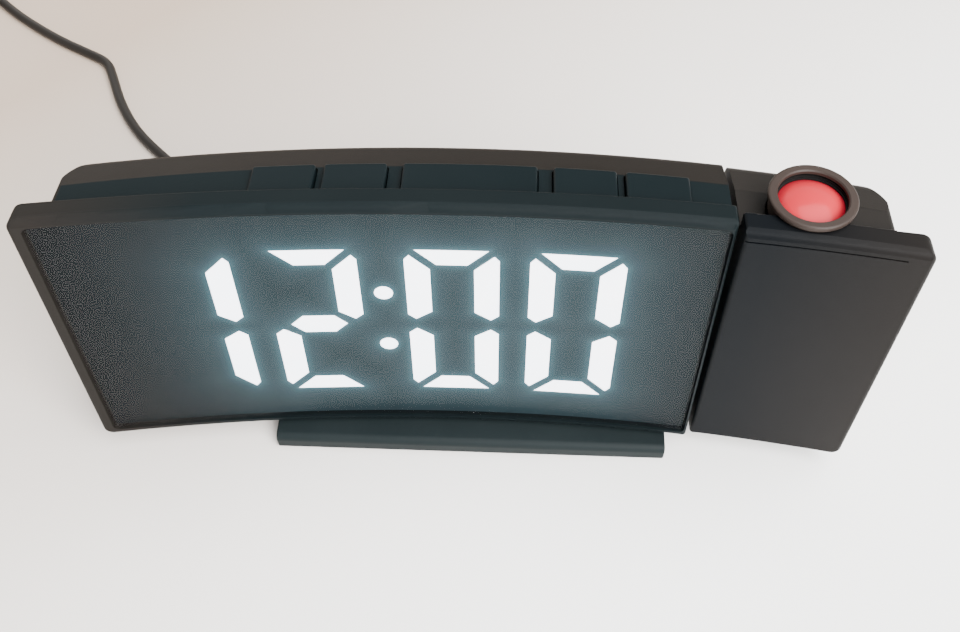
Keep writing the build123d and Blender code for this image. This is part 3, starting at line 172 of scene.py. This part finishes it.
def moulded_grain():
    """Fine spark-eroded grain of a plastic mould: a bump, an uneven polish and a mottle of tone."""
    group, given, made = node_group(
        "moulded_grain",
        [("Grain size", "NodeSocketFloat"), ("Grain depth", "NodeSocketFloat")],
        [("Normal", "NodeSocketVector"), ("Polish", "NodeSocketFloat"), ("Mottle", "NodeSocketFloat")])
    place = add_node(group, "ShaderNodeTexCoord").outputs["Object"]
    size = given.outputs["Grain size"]
    grain = add_node(
        group, "ShaderNodeTexNoise", {"Vector": place, "Scale": size, "Detail": 3.0, "Roughness": 0.6})
    pits = add_node(group, "ShaderNodeTexVoronoi", {"Vector": place, "Scale": size}, feature="SMOOTH_F1")
    height = add_node(
        group, "ShaderNodeMath", {0: grain.outputs["Fac"], 1: pits.outputs["Distance"]}, operation="ADD")
    bump = add_node(group, "ShaderNodeBump", {
        "Height": height.outputs[0], "Strength": given.outputs["Grain depth"], "Distance": 0.00004})
    blotch = add_node(group, "ShaderNodeTexNoise", {"Vector": place, "Scale": 55.0, "Detail": 3.0})
    polish = add_node(
        group, "ShaderNodeMapRange", {"Value": blotch.outputs["Fac"], "To Min": -0.06, "To Max": 0.06})
    feed(group, made, {
        "Normal": bump.outputs["Normal"], "Polish": polish.outputs["Result"],
        "Mottle": blotch.outputs["Fac"]})
    return group


mould_grain = moulded_grain()


def plastic(name, dark, light, roughness, grain_size, grain_depth, specular=0.5):
    """A moulded plastic with the grain, between a darker and a lighter tone."""
    finish, tree, shader = new_finish(name)
    mould = add_node(
        tree, "ShaderNodeGroup", {"Grain size": grain_size, "Grain depth": grain_depth},
        node_tree=mould_grain)
    matt = add_node(tree, "ShaderNodeMath", {0: mould.outputs["Polish"], 1: roughness}, operation="ADD")
    feed(tree, shader, {
        "Base Color": blend(tree, mould.outputs["Mottle"], dark, light), "Roughness": matt.outputs[0],
        "Normal": mould.outputs["Normal"], "Specular IOR Level": specular})
    return finish


def paint_in_light(finish, colour, measure, part, low, high):
    """Paints light into a plastic: blends its tone into a colour as its place or facing goes from low to
    high.
    """
    tree = finish.node_tree
    base = tree.nodes["Principled BSDF"].inputs["Base Color"]
    surface = add_node(tree, "ShaderNodeNewGeometry")
    parts = add_node(tree, "ShaderNodeSeparateXYZ", {"Vector": surface.outputs[measure]})
    share = add_node(
        tree, "ShaderNodeMapRange", {"Value": parts.outputs[part], "From Min": low, "From Max": high})
    tree.links.new(blend(tree, share.outputs["Result"], base.links[0].from_socket, colour), base)


def paint(finish, *names):
    """Gives CAD nodes a finish in place of the one they were loaded with."""
    for name in names:
        mesh = nodes[name].data
        mesh.materials.clear()
        mesh.materials.append(finish)


def shade_evenly(*names):
    """Weights the normals of CAD nodes by face size, so that walls shade evenly up to their rounds."""
    for name in names:
        weighted = nodes[name].modifiers.new("even_shading", "WEIGHTED_NORMAL")
        weighted.keep_sharp = True


shell_black = plastic(
    "shell_black", dark=shell_dark, light=shell_light, roughness=0.52, grain_size=2600.0, grain_depth=0.35,
    specular=0.09)
paint_in_light(shell_black, deck_painted_display_light, "Normal", "Z", low=0.965, high=0.99)
paint(shell_black, "rear_shell", "battery_door")
shade_evenly("rear_shell")

# Front bezel: the curved frame round the display, moulded in black ABS and held by the case's
# screws. The digits' blue light is painted into its colour, and gives way to brown at its far left end.
bezel_black = plastic(
    "bezel_black", dark=(0.0026, 0.0050, 0.0058), light=(0.0042, 0.0070, 0.0078), roughness=0.52,
    grain_size=2600.0, grain_depth=0.3, specular=0.07)
paint_in_light(bezel_black, (0.0105, 0.0092, 0.0080), "Position", "X", low=-0.060, high=-0.094)
paint(bezel_black, "front_bezel")
shade_evenly("front_bezel")

# Base: a black ABS slab with a leaning plinth that carries the case, closed by a cover that is
# screwed on from below. The display's blue light is painted into the shell's colour.
base_black = plastic(
    "base_black", dark=(0.0058, 0.0094, 0.0102), light=(0.0086, 0.0126, 0.0134), roughness=0.52,
    grain_size=2600.0, grain_depth=0.3, specular=0.10)
paint(base_black, "base_shell")
case_black = plastic(
    "case_black", dark=(0.0078, 0.0065, 0.0056), light=(0.0115, 0.0098, 0.0085), roughness=0.50,
    grain_size=2600.0, grain_depth=0.35, specular=0.12)
paint(case_black, "base_cover")

# Projector end: a front tray and a rear shell of black ABS, screwed together round the optics.
# The tray's flat front has a finer grain. The display's blue light is painted into its colour,
# and gives way to brown towards its outer edge.
front_black = plastic(
    "front_black", dark=(0.0018, 0.0026, 0.0036), light=(0.0030, 0.0037, 0.0046), roughness=0.44,
    grain_size=3200.0, grain_depth=0.2, specular=0.05)
paint_in_light(front_black, (0.0085, 0.0074, 0.0068), "Position", "X", low=0.066, high=0.098)
paint(front_black, "module_front")
paint(case_black, "module_shell")
shade_evenly("module_front", "module_shell")

# Buttons: five hollow black ABS caps, let into the deck from inside and held by a lip under it,
# each over its own plunger. Fingers have worn them a little smoother than the case.
# The display's blue light is painted into the caps' colour.
button_black = plastic(
    "button_black", dark=(0.0020, 0.0048, 0.0058), light=(0.0034, 0.0066, 0.0078), roughness=0.46,
    grain_size=3000.0, grain_depth=0.2, specular=0.08)
paint(button_black, "button_alarm_1", "button_alarm_2", "button_snooze", "button_time_set", "button_project")

# Display window: a smoked acrylic sheet let into the bezel and bent to the same curve.
# It mirrors the room faintly, with the slight waves of bent sheet, and lets the lit bars through.
case_stand = Matrix.Translation((0, -0.0157, 0.006)) @ Matrix.Rotation(math.radians(-5), 4, "X")
front_radius = 0.586


def bend(x, depth):
    """How far back a point lies that is depth behind the curved front, at x."""
    return math.sqrt((front_radius + depth) ** 2 - x * x) - front_radius


def bent_sheet(name, left, right, low, high, front, back, corner, columns, rows):
    """A closed sheet on the display's curve, with rounded corners, finely divided."""
    sheet = bmesh.new()
    corner_shares = (0, 0.08, 0.3, 0.6)
    places = [left + corner * share for share in corner_shares]
    places += [left + corner + (right - left - 2 * corner) * index / columns for index in range(columns + 1)]
    places += [right - corner * share for share in reversed(corner_shares)]
    layers = []
    for depth in (front, back):
        grid = []
        for x in places:
            short = max(corner - min(x - left, right - x), 0)
            drop = corner - math.sqrt(max(corner * corner - short * short, 0))
            grid.append([
                sheet.verts.new(case_stand @ Vector((
                    x, bend(x, depth), low + drop + (high - low - 2 * drop) * row / rows)))
                for row in range(rows + 1)])
        layers.append(grid)
    near, far = layers
    for column in range(len(places) - 1):
        near_left, near_right = near[column], near[column + 1]
        far_left, far_right = far[column], far[column + 1]
        for row in range(rows):
            sheet.faces.new((near_left[row], near_right[row], near_right[row + 1], near_left[row + 1]))
            sheet.faces.new((far_left[row + 1], far_right[row + 1], far_right[row], far_left[row]))
        sheet.faces.new((near_right[0], near_left[0], far_left[0], far_right[0]))
        sheet.faces.new((near_left[rows], near_right[rows], far_right[rows], far_left[rows]))
    for row in range(rows):
        sheet.faces.new((near[0][row], near[0][row + 1], far[0][row + 1], far[0][row]))
        sheet.faces.new((near[-1][row + 1], near[-1][row], far[-1][row], far[-1][row + 1]))
    mesh = bpy.data.meshes.new(name)
    sheet.to_mesh(mesh)
    sheet.free()
    mesh.shade_smooth()
    mesh.set_sharp_from_angle(angle=math.radians(40))
    return mesh


def new_piece(name, mesh, finish, slot, body, *stands_for):
    """An object from a mesh, with its finish, riding on a body in place of CAD nodes."""
    piece = bpy.data.objects.new(name, mesh)
    bpy.context.scene.collection.objects.link(piece)
    mesh.materials.append(finish)
    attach(piece, body)
    if stands_for:
        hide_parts(*stands_for)
    return piece


smoked, tree, shader = new_finish("smoked_acrylic")
place = add_node(tree, "ShaderNodeTexCoord").outputs["Object"]
smear = add_node(
    tree, "ShaderNodeTexNoise", {"Vector": place, "Scale": 28.0, "Detail": 5.0, "Distortion": 0.8})
haze = add_node(tree, "ShaderNodeMapRange", {"Value": smear.outputs["Fac"], "To Min": 0.09, "To Max": 0.15})
ripple = add_node(tree, "ShaderNodeTexNoise", {"Vector": place, "Scale": 40.0})
waves = add_node(
    tree, "ShaderNodeBump", {"Height": ripple.outputs["Fac"], "Strength": 0.03, "Distance": 0.0004})
feed(tree, shader, {
    "Base Color": (0.006, 0.006, 0.0065, 1), "Specular IOR Level": 0.42, "Alpha": 0.12,
    "Roughness": haze.outputs["Result"], "Normal": waves.outputs["Normal"]})
window_mesh = bent_sheet(
    "smoked_window", left=-0.0967, right=0.0579, low=0.0022, high=0.0789, front=0.0004, back=0.0013,
    corner=0.0012, columns=48, rows=8)
window = new_piece("smoked_window", window_mesh, smoked, "tinted_window", "case", "display_window")
edge = window.modifiers.new("polished_edge", "BEVEL")
edge.width = 0.00015
edge.segments = 2
edge.limit_method = "ANGLE"

# Lit bars: seven-bar digits that read 12:00, as milky acrylic blocks over white lamps at the
# mouths of the light box's wells. Each outline is (across, up) from its digit's middle.
digit_centres = [-0.0667, -0.0372, -0.0038, 0.0257]
digit_level = 0.04005
upright_bar = [
    (-0.0100, 0.0247), (-0.0112, 0.0232), (-0.0112, 0.0035), (-0.0092, 0.0018), (-0.0052, 0.0046),
    (-0.0052, 0.0199)]
cross_bar = [(-0.0087, 0.0265), (0.0087, 0.0265), (0.0037, 0.0215), (-0.0037, 0.0215)]
middle_bar = [
    (-0.0070, 0.0), (-0.0039, 0.0031), (0.0039, 0.0031), (0.0070, 0.0), (0.0039, -0.0031), (-0.0039, -0.0031)]
dot_centre = -0.0205
dot_levels = (0.05145, 0.03195)
dot_radius = 0.0023
dot_sides = 24
block_front = 0.00138
block_back = 0.0034
block_softness = 0.00006


def flipped(points, across, over):
    """A bar's outline flipped left to right and top to bottom by signs."""
    return [(across * x, over * z) for x, z in points]


bars = {
    "top": cross_bar, "bottom": flipped(cross_bar, 1, -1), "middle": middle_bar,
    "upper_left": upright_bar, "upper_right": flipped(upright_bar, -1, 1),
    "lower_left": flipped(upright_bar, 1, -1), "lower_right": flipped(upright_bar, -1, -1)}
one = ("upper_right", "lower_right")
two = ("top", "upper_right", "middle", "lower_left", "bottom")
nought = ("top", "upper_right", "lower_right", "bottom", "lower_left", "upper_left")
bar_outlines = [
    [(centre + x, digit_level + z) for x, z in bars[name]]
    for centre, names in zip(digit_centres, (one, two, nought, nought)) for name in names]
dot_turns = [2 * math.pi * index / dot_sides for index in range(dot_sides)]
dot_outlines = [
    [(dot_centre + dot_radius * math.cos(turn), level + dot_radius * math.sin(turn)) for turn in dot_turns]
    for level in dot_levels]


def bent_blocks(name, outlines):
    """Blocks with the given outlines on the display's curve, their front edges a little rounded."""
    blocks = bmesh.new()
    for outline in outlines:
        middle = Vector((
            sum(x for x, z in outline) / len(outline), sum(z for x, z in outline) / len(outline)))
        rings = []
        for depth, inset in (
                (block_back, 0), (block_front + block_softness, 0), (block_front, block_softness)):
            ring = []
            for x, z in outline:
                spot = Vector((x, z))
                spot += (middle - spot).normalized() * inset
                ring.append(blocks.verts.new(case_stand @ Vector((spot.x, bend(spot.x, depth), spot.y))))
            rings.append(ring)
        for far, near in zip(rings, rings[1:]):
            for index in range(len(outline)):
                blocks.faces.new((far[index - 1], far[index], near[index], near[index - 1]))
        blocks.faces.new(rings[-1])
        blocks.faces.new(list(reversed(rings[0])))
    bmesh.ops.recalc_face_normals(blocks, faces=blocks.faces)
    mesh = bpy.data.meshes.new(name)
    blocks.to_mesh(mesh)
    blocks.free()
    return mesh


lit_white, tree, shader = new_finish("lit_white")
place = add_node(tree, "ShaderNodeTexCoord").outputs["Object"]
cloud = add_node(tree, "ShaderNodeTexNoise", {"Vector": place, "Scale": 90.0, "Detail": 2.0})
glow_tone = blend(tree, cloud.outputs["Fac"], (0.80, 0.90, 1.0), (1.0, 0.97, 1.0))
feed(tree, shader, {
    "Base Color": glow_tone, "Emission Color": glow_tone, "Emission Strength": 4.9, "Roughness": 0.4})
new_piece("lit_bars", bent_blocks("lit_bars", bar_outlines), lit_white, "lit_bar", "case", "lit_segments")
new_piece("lit_dots", bent_blocks("lit_dots", dot_outlines), lit_white, "lit_bar", "case", "colon_dots")

# Mask film: the black film behind the window, laid over the light box. The lit bars' light in it
# is painted as a blue-green glow of its own, worked out at each point from the bars near it.
wide_glow = (0.29, 0.62, 0.74)
close_glow = (0.25, 0.75, 0.95)
wide_fall = 0.0075
widest_fall = 0.013
widest_share = 0.6
close_fall = 0.0009
bars_in_reach = 4
mask_mesh = bent_sheet(
    "mask_film", left=-0.0964, right=0.0576, low=0.0025, high=0.0786, front=0.00145, back=0.00155,
    corner=0.001, columns=150, rows=76)
haze_layer = mask_mesh.color_attributes.new("haze", "FLOAT_COLOR", "POINT")
into_case = case_stand.inverted()


def reach_to(outline, x, z):
    """Distance from a point to a bar's outline, zero inside it."""
    inside = True
    nearest = 1.0
    turn = 0.0
    for (ax, az), (bx, bz) in zip(outline, outline[1:] + outline[:1]):
        along_x, along_z = bx - ax, bz - az
        length = along_x * along_x + along_z * along_z
        share = min(max(((x - ax) * along_x + (z - az) * along_z) / length, 0), 1)
        nearest = min(nearest, math.hypot(x - ax - share * along_x, z - az - share * along_z))
        side = along_x * (z - az) - along_z * (x - ax)
        if side * turn < 0:
            inside = False
        turn = side or turn
    return 0.0 if inside else nearest


for vertex, shade in zip(mask_mesh.vertices, haze_layer.data):
    spot = into_case @ vertex.co
    gaps = sorted(reach_to(outline, spot.x, spot.z) for outline in bar_outlines + dot_outlines)
    wide = sum(math.exp(-gap / wide_fall) for gap in gaps[:bars_in_reach]) / bars_in_reach
    wide += widest_share * math.exp(-gaps[0] / widest_fall)
    close = math.exp(-gaps[0] / close_fall)
    shade.color = [soft * wide + keen * close for soft, keen in zip(wide_glow, close_glow)] + [1]
mask_black, tree, shader = new_finish("mask_black")
mask_black.cycles.emission_sampling = "NONE"
place = add_node(tree, "ShaderNodeTexCoord").outputs["Object"]
weave = add_node(tree, "ShaderNodeTexNoise", {"Vector": place, "Scale": 240.0})
dull = add_node(tree, "ShaderNodeMapRange", {"Value": weave.outputs["Fac"], "To Min": 0.60, "To Max": 0.66})
haze_paint = add_node(tree, "ShaderNodeAttribute", attribute_name="haze")
feed(tree, shader, {
    "Base Color": (0.004, 0.004, 0.0045, 1), "Specular IOR Level": 0.05, "Roughness": dull.outputs["Result"],
    "Emission Color": haze_paint.outputs["Color"], "Emission Strength": 0.24})
new_piece("mask_film", mask_mesh, mask_black, "tinted_window", "case")

# Light box and dark bars: a white ABS moulding with a well for each bar, let into the bezel's
# opening behind the window. The bars that don't shine are the same milky blocks without light.
box_white = plastic(
    "box_white", dark=(0.62, 0.62, 0.60), light=(0.74, 0.74, 0.72), roughness=0.5,
    grain_size=1800.0, grain_depth=0.15)
paint(box_white, "light_box")
bar_milk = plastic(
    "bar_milk", dark=(0.30, 0.31, 0.32), light=(0.36, 0.37, 0.38), roughness=0.3,
    grain_size=900.0, grain_depth=0.05)
paint(bar_milk, "unlit_segments")


# Boards: glass-fibre sheets with copper tracks under green lacquer and tinned pads. They carry
# the lamps, chips and switches, and are held on spacers and posts inside the mouldings.
lacquer_green = (0.012, 0.085, 0.030)
track_green = (0.030, 0.17, 0.055)
tin_grey = (0.72, 0.70, 0.66)
track_spacing = 0.09
track_edge = 0.052
pad_reach = 0.16


def board_print():
    """A board's printed tracks under its lacquer: a mask of tracks, one of pads, and a bump."""
    group, given, made = node_group(
        "board_print",
        [("Track size", "NodeSocketFloat")],
        [("Tracks", "NodeSocketFloat"), ("Pads", "NodeSocketFloat"), ("Normal", "NodeSocketVector")])
    place = add_node(group, "ShaderNodeTexCoord").outputs["Object"]
    tracks = add_node(
        group, "ShaderNodeTexVoronoi", {"Vector": place, "Scale": given.outputs["Track size"]},
        distance="CHEBYCHEV", feature="F1")
    grooves = add_node(
        group, "ShaderNodeMath", {0: tracks.outputs["Distance"], 1: track_spacing}, operation="PINGPONG")
    line = add_node(
        group, "ShaderNodeMath", {0: grooves.outputs[0], 1: track_edge}, operation="GREATER_THAN")
    pads = add_node(group, "ShaderNodeTexVoronoi", {"Vector": place, "Scale": 420.0, "Randomness": 0.85})
    dot = add_node(
        group, "ShaderNodeMath", {0: pads.outputs["Distance"], 1: pad_reach}, operation="LESS_THAN")
    raised = add_node(
        group, "ShaderNodeBump", {"Height": line.outputs[0], "Strength": 0.6, "Distance": 0.00005})
    feed(group, made, {
        "Tracks": line.outputs[0], "Pads": dot.outputs[0], "Normal": raised.outputs["Normal"]})
    return group


board_green, tree, shader = new_finish("board_green")
printed = add_node(tree, "ShaderNodeGroup", {"Track size": 130.0}, node_tree=board_print())
lacquer = blend(tree, printed.outputs["Tracks"], lacquer_green, track_green)
feed(tree, shader, {
    "Base Color": blend(tree, printed.outputs["Pads"], lacquer, tin_grey), "Roughness": 0.28,
    "Metallic": printed.outputs["Pads"], "Normal": printed.outputs["Normal"]})
paint(board_green, "display_board", "main_board", "button_board", "projector_board")

# Lamps: small packages of yellowish phosphor in white plastic, soldered to the display board, one
# in each well of the light box, with another on the projector's board.
lamp_white = plastic(
    "lamp_white", dark=(0.70, 0.66, 0.42), light=(0.82, 0.79, 0.60), roughness=0.35,
    grain_size=1200.0, grain_depth=0.1)
paint(lamp_white, "display_leds", "projector_lamp")

# Chips, switches and sockets: black moulded parts with a satin skin, soldered to the boards.
# The plungers under the button caps are tan acetal and press on the switches.
part_black = plastic(
    "part_black", dark=(0.014, 0.014, 0.015), light=(0.026, 0.026, 0.027), roughness=0.42,
    grain_size=2200.0, grain_depth=0.25)
paint(part_black, "board_parts", "power_jack", "usb_socket_tongue", "tact_switches")
plunger_tan = plastic(
    "plunger_tan", dark=(0.42, 0.35, 0.25), light=(0.52, 0.44, 0.32), roughness=0.45,
    grain_size=1800.0, grain_depth=0.15)
paint(
    plunger_tan, "plunger_alarm_1", "plunger_alarm_2", "plunger_snooze", "plunger_time_set",
    "plunger_project")


# Metal parts: nickelled plug and socket shells, the coin cell and the swivel's clip, blackened
# screws, brass spacers between the boards, and a cast weight that lies in the base.
lines_along = (1.0, 0.06, 1.0)


def drawn_metal():
    """Fine lines along a drawn or turned metal part, with stains: a bump, a polish and a tone."""
    group, given, made = node_group(
        "drawn_metal",
        [("Line size", "NodeSocketFloat")],
        [("Normal", "NodeSocketVector"), ("Polish", "NodeSocketFloat"), ("Stain", "NodeSocketFloat")])
    place = add_node(group, "ShaderNodeTexCoord").outputs["Object"]
    stretch = add_node(group, "ShaderNodeMapping", {"Vector": place, "Scale": lines_along})
    lines = add_node(group, "ShaderNodeTexNoise", {
        "Vector": stretch.outputs["Vector"], "Scale": given.outputs["Line size"], "Detail": 4.0})
    scored = add_node(
        group, "ShaderNodeBump", {"Height": lines.outputs["Fac"], "Strength": 0.25, "Distance": 0.00003})
    stain = add_node(group, "ShaderNodeTexNoise", {"Vector": place, "Scale": 160.0, "Detail": 4.0})
    polish = add_node(
        group, "ShaderNodeMapRange", {"Value": stain.outputs["Fac"], "To Min": -0.08, "To Max": 0.10})
    feed(group, made, {
        "Normal": scored.outputs["Normal"], "Polish": polish.outputs["Result"],
        "Stain": stain.outputs["Fac"]})
    return group


metal_lines = drawn_metal()


def metal(name, dark, light, roughness, line_size):
    """A metal with drawn lines and faint stains, between a darker and a lighter tone."""
    finish, tree, shader = new_finish(name)
    worked = add_node(tree, "ShaderNodeGroup", {"Line size": line_size}, node_tree=metal_lines)
    matt = add_node(tree, "ShaderNodeMath", {0: worked.outputs["Polish"], 1: roughness}, operation="ADD")
    feed(tree, shader, {
        "Metallic": 1.0, "Base Color": blend(tree, worked.outputs["Stain"], dark, light),
        "Roughness": matt.outputs[0], "Normal": worked.outputs["Normal"]})
    return finish


nickel = metal("nickel", dark=(0.55, 0.53, 0.50), light=(0.72, 0.70, 0.67), roughness=0.24, line_size=4000.0)
paint(nickel, "usb_socket", "usb_plug_shell", "plug_barrel", "coin_cell", "swivel_clip")
black_steel = metal(
    "black_steel", dark=(0.10, 0.10, 0.105), light=(0.17, 0.17, 0.18), roughness=0.34, line_size=5000.0)
paint(black_steel, "case_screws", "base_screws", "module_screws")
brass = metal("brass", dark=(0.58, 0.42, 0.18), light=(0.74, 0.57, 0.28), roughness=0.27, line_size=4000.0)
paint(brass, "board_spacers")
cast_iron = metal(
    "cast_iron", dark=(0.16, 0.155, 0.15), light=(0.27, 0.265, 0.26), roughness=0.55, line_size=900.0)
paint(cast_iron, "base_weight")

# Speaker: a shallow pressed frame with a black paper cone, in a cup inside the back, and a grey
# ferrite magnet glued to it.
cone_black = plastic(
    "cone_black", dark=(0.018, 0.017, 0.016), light=(0.040, 0.038, 0.036), roughness=0.75,
    grain_size=1400.0, grain_depth=0.6)
paint(cone_black, "speaker")
ferrite = plastic(
    "ferrite", dark=(0.060, 0.058, 0.056), light=(0.11, 0.108, 0.105), roughness=0.5,
    grain_size=1100.0, grain_depth=0.5)
paint(ferrite, "speaker_magnet")

# Swivel: the projector end turns on a hollow shaft of natural acetal, in an acetal bush in the
# case's end wall. A washer of pressed fibre gives the friction that holds it at any angle.
acetal = plastic(
    "acetal", dark=(0.60, 0.59, 0.55), light=(0.74, 0.73, 0.69), roughness=0.38,
    grain_size=1500.0, grain_depth=0.1)
paint(acetal, "swivel_bush", "swivel_shaft")
fibre = plastic(
    "fibre", dark=(0.20, 0.13, 0.08), light=(0.30, 0.20, 0.12), roughness=0.8,
    grain_size=1000.0, grain_depth=0.7)
paint(fibre, "friction_washer")

# Barrel, lens cell and focus ring: black ABS tubes that hold the optics, and a brown-black ring
# on the barrel's neck that a finger turns to move the lens cell up and down.
optic_black = plastic(
    "optic_black", dark=(0.004, 0.004, 0.004), light=(0.007, 0.0066, 0.0064), roughness=0.6,
    grain_size=2800.0, grain_depth=0.3, specular=0.15)
paint(optic_black, "lens_barrel", "lens_cell")
ring_brown = plastic(
    "ring_brown", dark=(0.0200, 0.0135, 0.0110), light=(0.0285, 0.0200, 0.0166), roughness=0.48,
    grain_size=2600.0, grain_depth=0.3, specular=0.18)
paint(ring_brown, "focus_ring")

# Lens, picture slide and condenser: moulded optics with a red tint, dropped into the cell and
# the barrel. The lens is deepest in tone at its rim, and has a faint glow of its own for the lamp's.
lens_middle = (0.0755, -0.0036, 0.0845)
rim_start = 0.72
glass_unevenness = 0.12


def optic(name, middle, rim, reach, roughness, glow, clearness):
    """A lens or slide whose tone changes from its middle to its rim, faintly uneven."""
    finish, tree, shader = new_finish(name)
    place = add_node(tree, "ShaderNodeTexCoord").outputs["Object"]
    axis = add_node(tree, "ShaderNodeVectorMath", {0: place, 1: lens_middle}, operation="DISTANCE")
    span = add_node(tree, "ShaderNodeMapRange", {
        "Value": axis.outputs["Value"], "From Min": reach * rim_start, "From Max": reach})
    cloud = add_node(tree, "ShaderNodeTexNoise", {"Vector": place, "Scale": 260.0, "Detail": 3.0})
    mottle_and_fade = add_node(
        tree, "ShaderNodeMath", {0: cloud.outputs["Fac"], 1: glass_unevenness, 2: span.outputs["Result"]},
        operation="MULTIPLY_ADD")
    tone = blend(tree, mottle_and_fade.outputs[0], middle, rim)
    feed(tree, shader, {
        "Base Color": tone, "Emission Color": tone, "Emission Strength": glow, "Alpha": clearness,
        "Roughness": roughness, "Specular IOR Level": 0.12, "Coat Weight": 0.05, "Coat Roughness": 0.04})
    return finish


lens_pink = optic(
    "lens_pink", middle=(0.38, 0.018, 0.026), rim=(0.14, 0.002, 0.010), reach=0.0082, roughness=0.22,
    glow=0.42, clearness=1.0)
paint(lens_pink, "projection_lens")
slide_dark = optic(
    "slide_dark", middle=(0.10, 0.012, 0.015), rim=(0.05, 0.008, 0.01), reach=0.03, roughness=0.12,
    glow=0.0, clearness=1.0)
paint(slide_dark, "lcd_slide")
clear_optic = optic(
    "clear_optic", middle=(0.75, 0.55, 0.55), rim=(0.6, 0.4, 0.4), reach=0.04, roughness=0.05,
    glow=0.0, clearness=0.55)
paint(clear_optic, "condenser_lens")

# Feet: four pads of soft black rubber, stuck to the base's underside so that the clock doesn't
# slide. They have the dull open grain of moulded rubber.
foot_rubber = plastic(
    "foot_rubber", dark=(0.008, 0.008, 0.008), light=(0.014, 0.014, 0.014), roughness=0.78,
    grain_size=900.0, grain_depth=0.6, specular=0.25)
paint(foot_rubber, "rubber_feet")

# Lead: a black vinyl cord from the plug in the back, which droops to the table and runs across it.
# The rest is wound into two layers of a round coil held by a tie, and its tail ends at the USB plug.
cord_diameter = 0.0033
lead_points = [
    (-0.062, 0.039433, 0.017739), (-0.062, 0.0475, 0.01703), (-0.066, 0.056, 0.012),
    (-0.0745, 0.062, 0.0052), (-0.086, 0.0675, 0.0019), (-0.0975, 0.075, 0.0017),
    (-0.1097, 0.0855, 0.0017), (-0.1204, 0.0962, 0.0017), (-0.1292, 0.1096, 0.0017),
    (-0.1354, 0.1235, 0.0017), (-0.1389, 0.1307, 0.0017), (-0.1465, 0.135, 0.0017),
    (-0.1578, 0.1409, 0.0017), (-0.1706, 0.1492, 0.0017), (-0.182, 0.1578, 0.0017),
    (-0.195, 0.1696, 0.0026), (-0.20694, 0.18093, 0.0026)]
tail_points = [
    (-0.24528, 0.14053, 0.00645), (-0.2387, 0.1343, 0.00645), (-0.2302, 0.1233, 0.0037),
    (-0.2252, 0.1146, 0.0037)]
coil_middle = (-0.2285, 0.163)
coil_inner = 0.0114
coil_half_pitch = 0.00235
coil_half_turns = 7
coil_points_per_half = 8
coil_low = 0.0026
coil_step = 0.00385
coil_heading = math.radians(136.5)
coil_line = []
for index in range((2 * coil_half_turns + 1) * coil_points_per_half + 1):
    turn = index / coil_points_per_half
    sunk = min(turn, coil_half_turns) if turn < coil_half_turns + 1 else 2 * coil_half_turns + 1 - turn
    climb = min(max(turn - coil_half_turns, 0.0), 1.0)
    radius = coil_inner + coil_half_pitch * (coil_half_turns - sunk)
    angle = coil_heading - math.pi / 2 + math.pi * turn
    coil_line.append((
        coil_middle[0] + radius * math.cos(angle), coil_middle[1] + radius * math.sin(angle),
        coil_low + coil_step * (climb - math.sin(2 * math.pi * climb) / (2 * math.pi))))
cord_curve = bpy.data.curves.new("lead", "CURVE")
cord_curve.dimensions = "3D"
line = cord_curve.splines.new("NURBS")
route = lead_points + coil_line + tail_points
line.points.add(len(route) - 1)
for point, (x, y, z) in zip(line.points, route):
    point.co = (x, y, z, 1.0)
line.order_u = 3
line.use_endpoint_u = True
cord_curve.resolution_u = 6
cord_curve.bevel_depth = cord_diameter / 2
cord_curve.bevel_resolution = 5
lead = bpy.data.objects.new("lead", cord_curve)
bpy.context.scene.collection.objects.link(lead)
lead_black = plastic(
    "lead_black", dark=(0.0105, 0.0088, 0.0076), light=(0.0155, 0.0132, 0.0115), roughness=0.42,
    grain_size=1500.0, grain_depth=0.15, specular=0.2)
cord_curve.materials.append(lead_black)
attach(lead, "case")
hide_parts("power_cord", "cord_coil", "cord_tail")

# Plugs and tie: vinyl bodies moulded over both ends of the lead, round their metal shells, and a
# flat black tie round all the loops of the coil.
plug_vinyl = plastic(
    "plug_vinyl", dark=(0.0095, 0.0085, 0.0075), light=(0.014, 0.0125, 0.0115), roughness=0.5,
    grain_size=2000.0, grain_depth=0.4, specular=0.25)
paint(plug_vinyl, "plug_body", "usb_plug_body")
tie_black = plastic(
    "tie_black", dark=(0.009, 0.009, 0.0095), light=(0.017, 0.017, 0.018), roughness=0.66,
    grain_size=1300.0, grain_depth=0.8, specular=0.25)
paint(tie_black, "cord_tie")
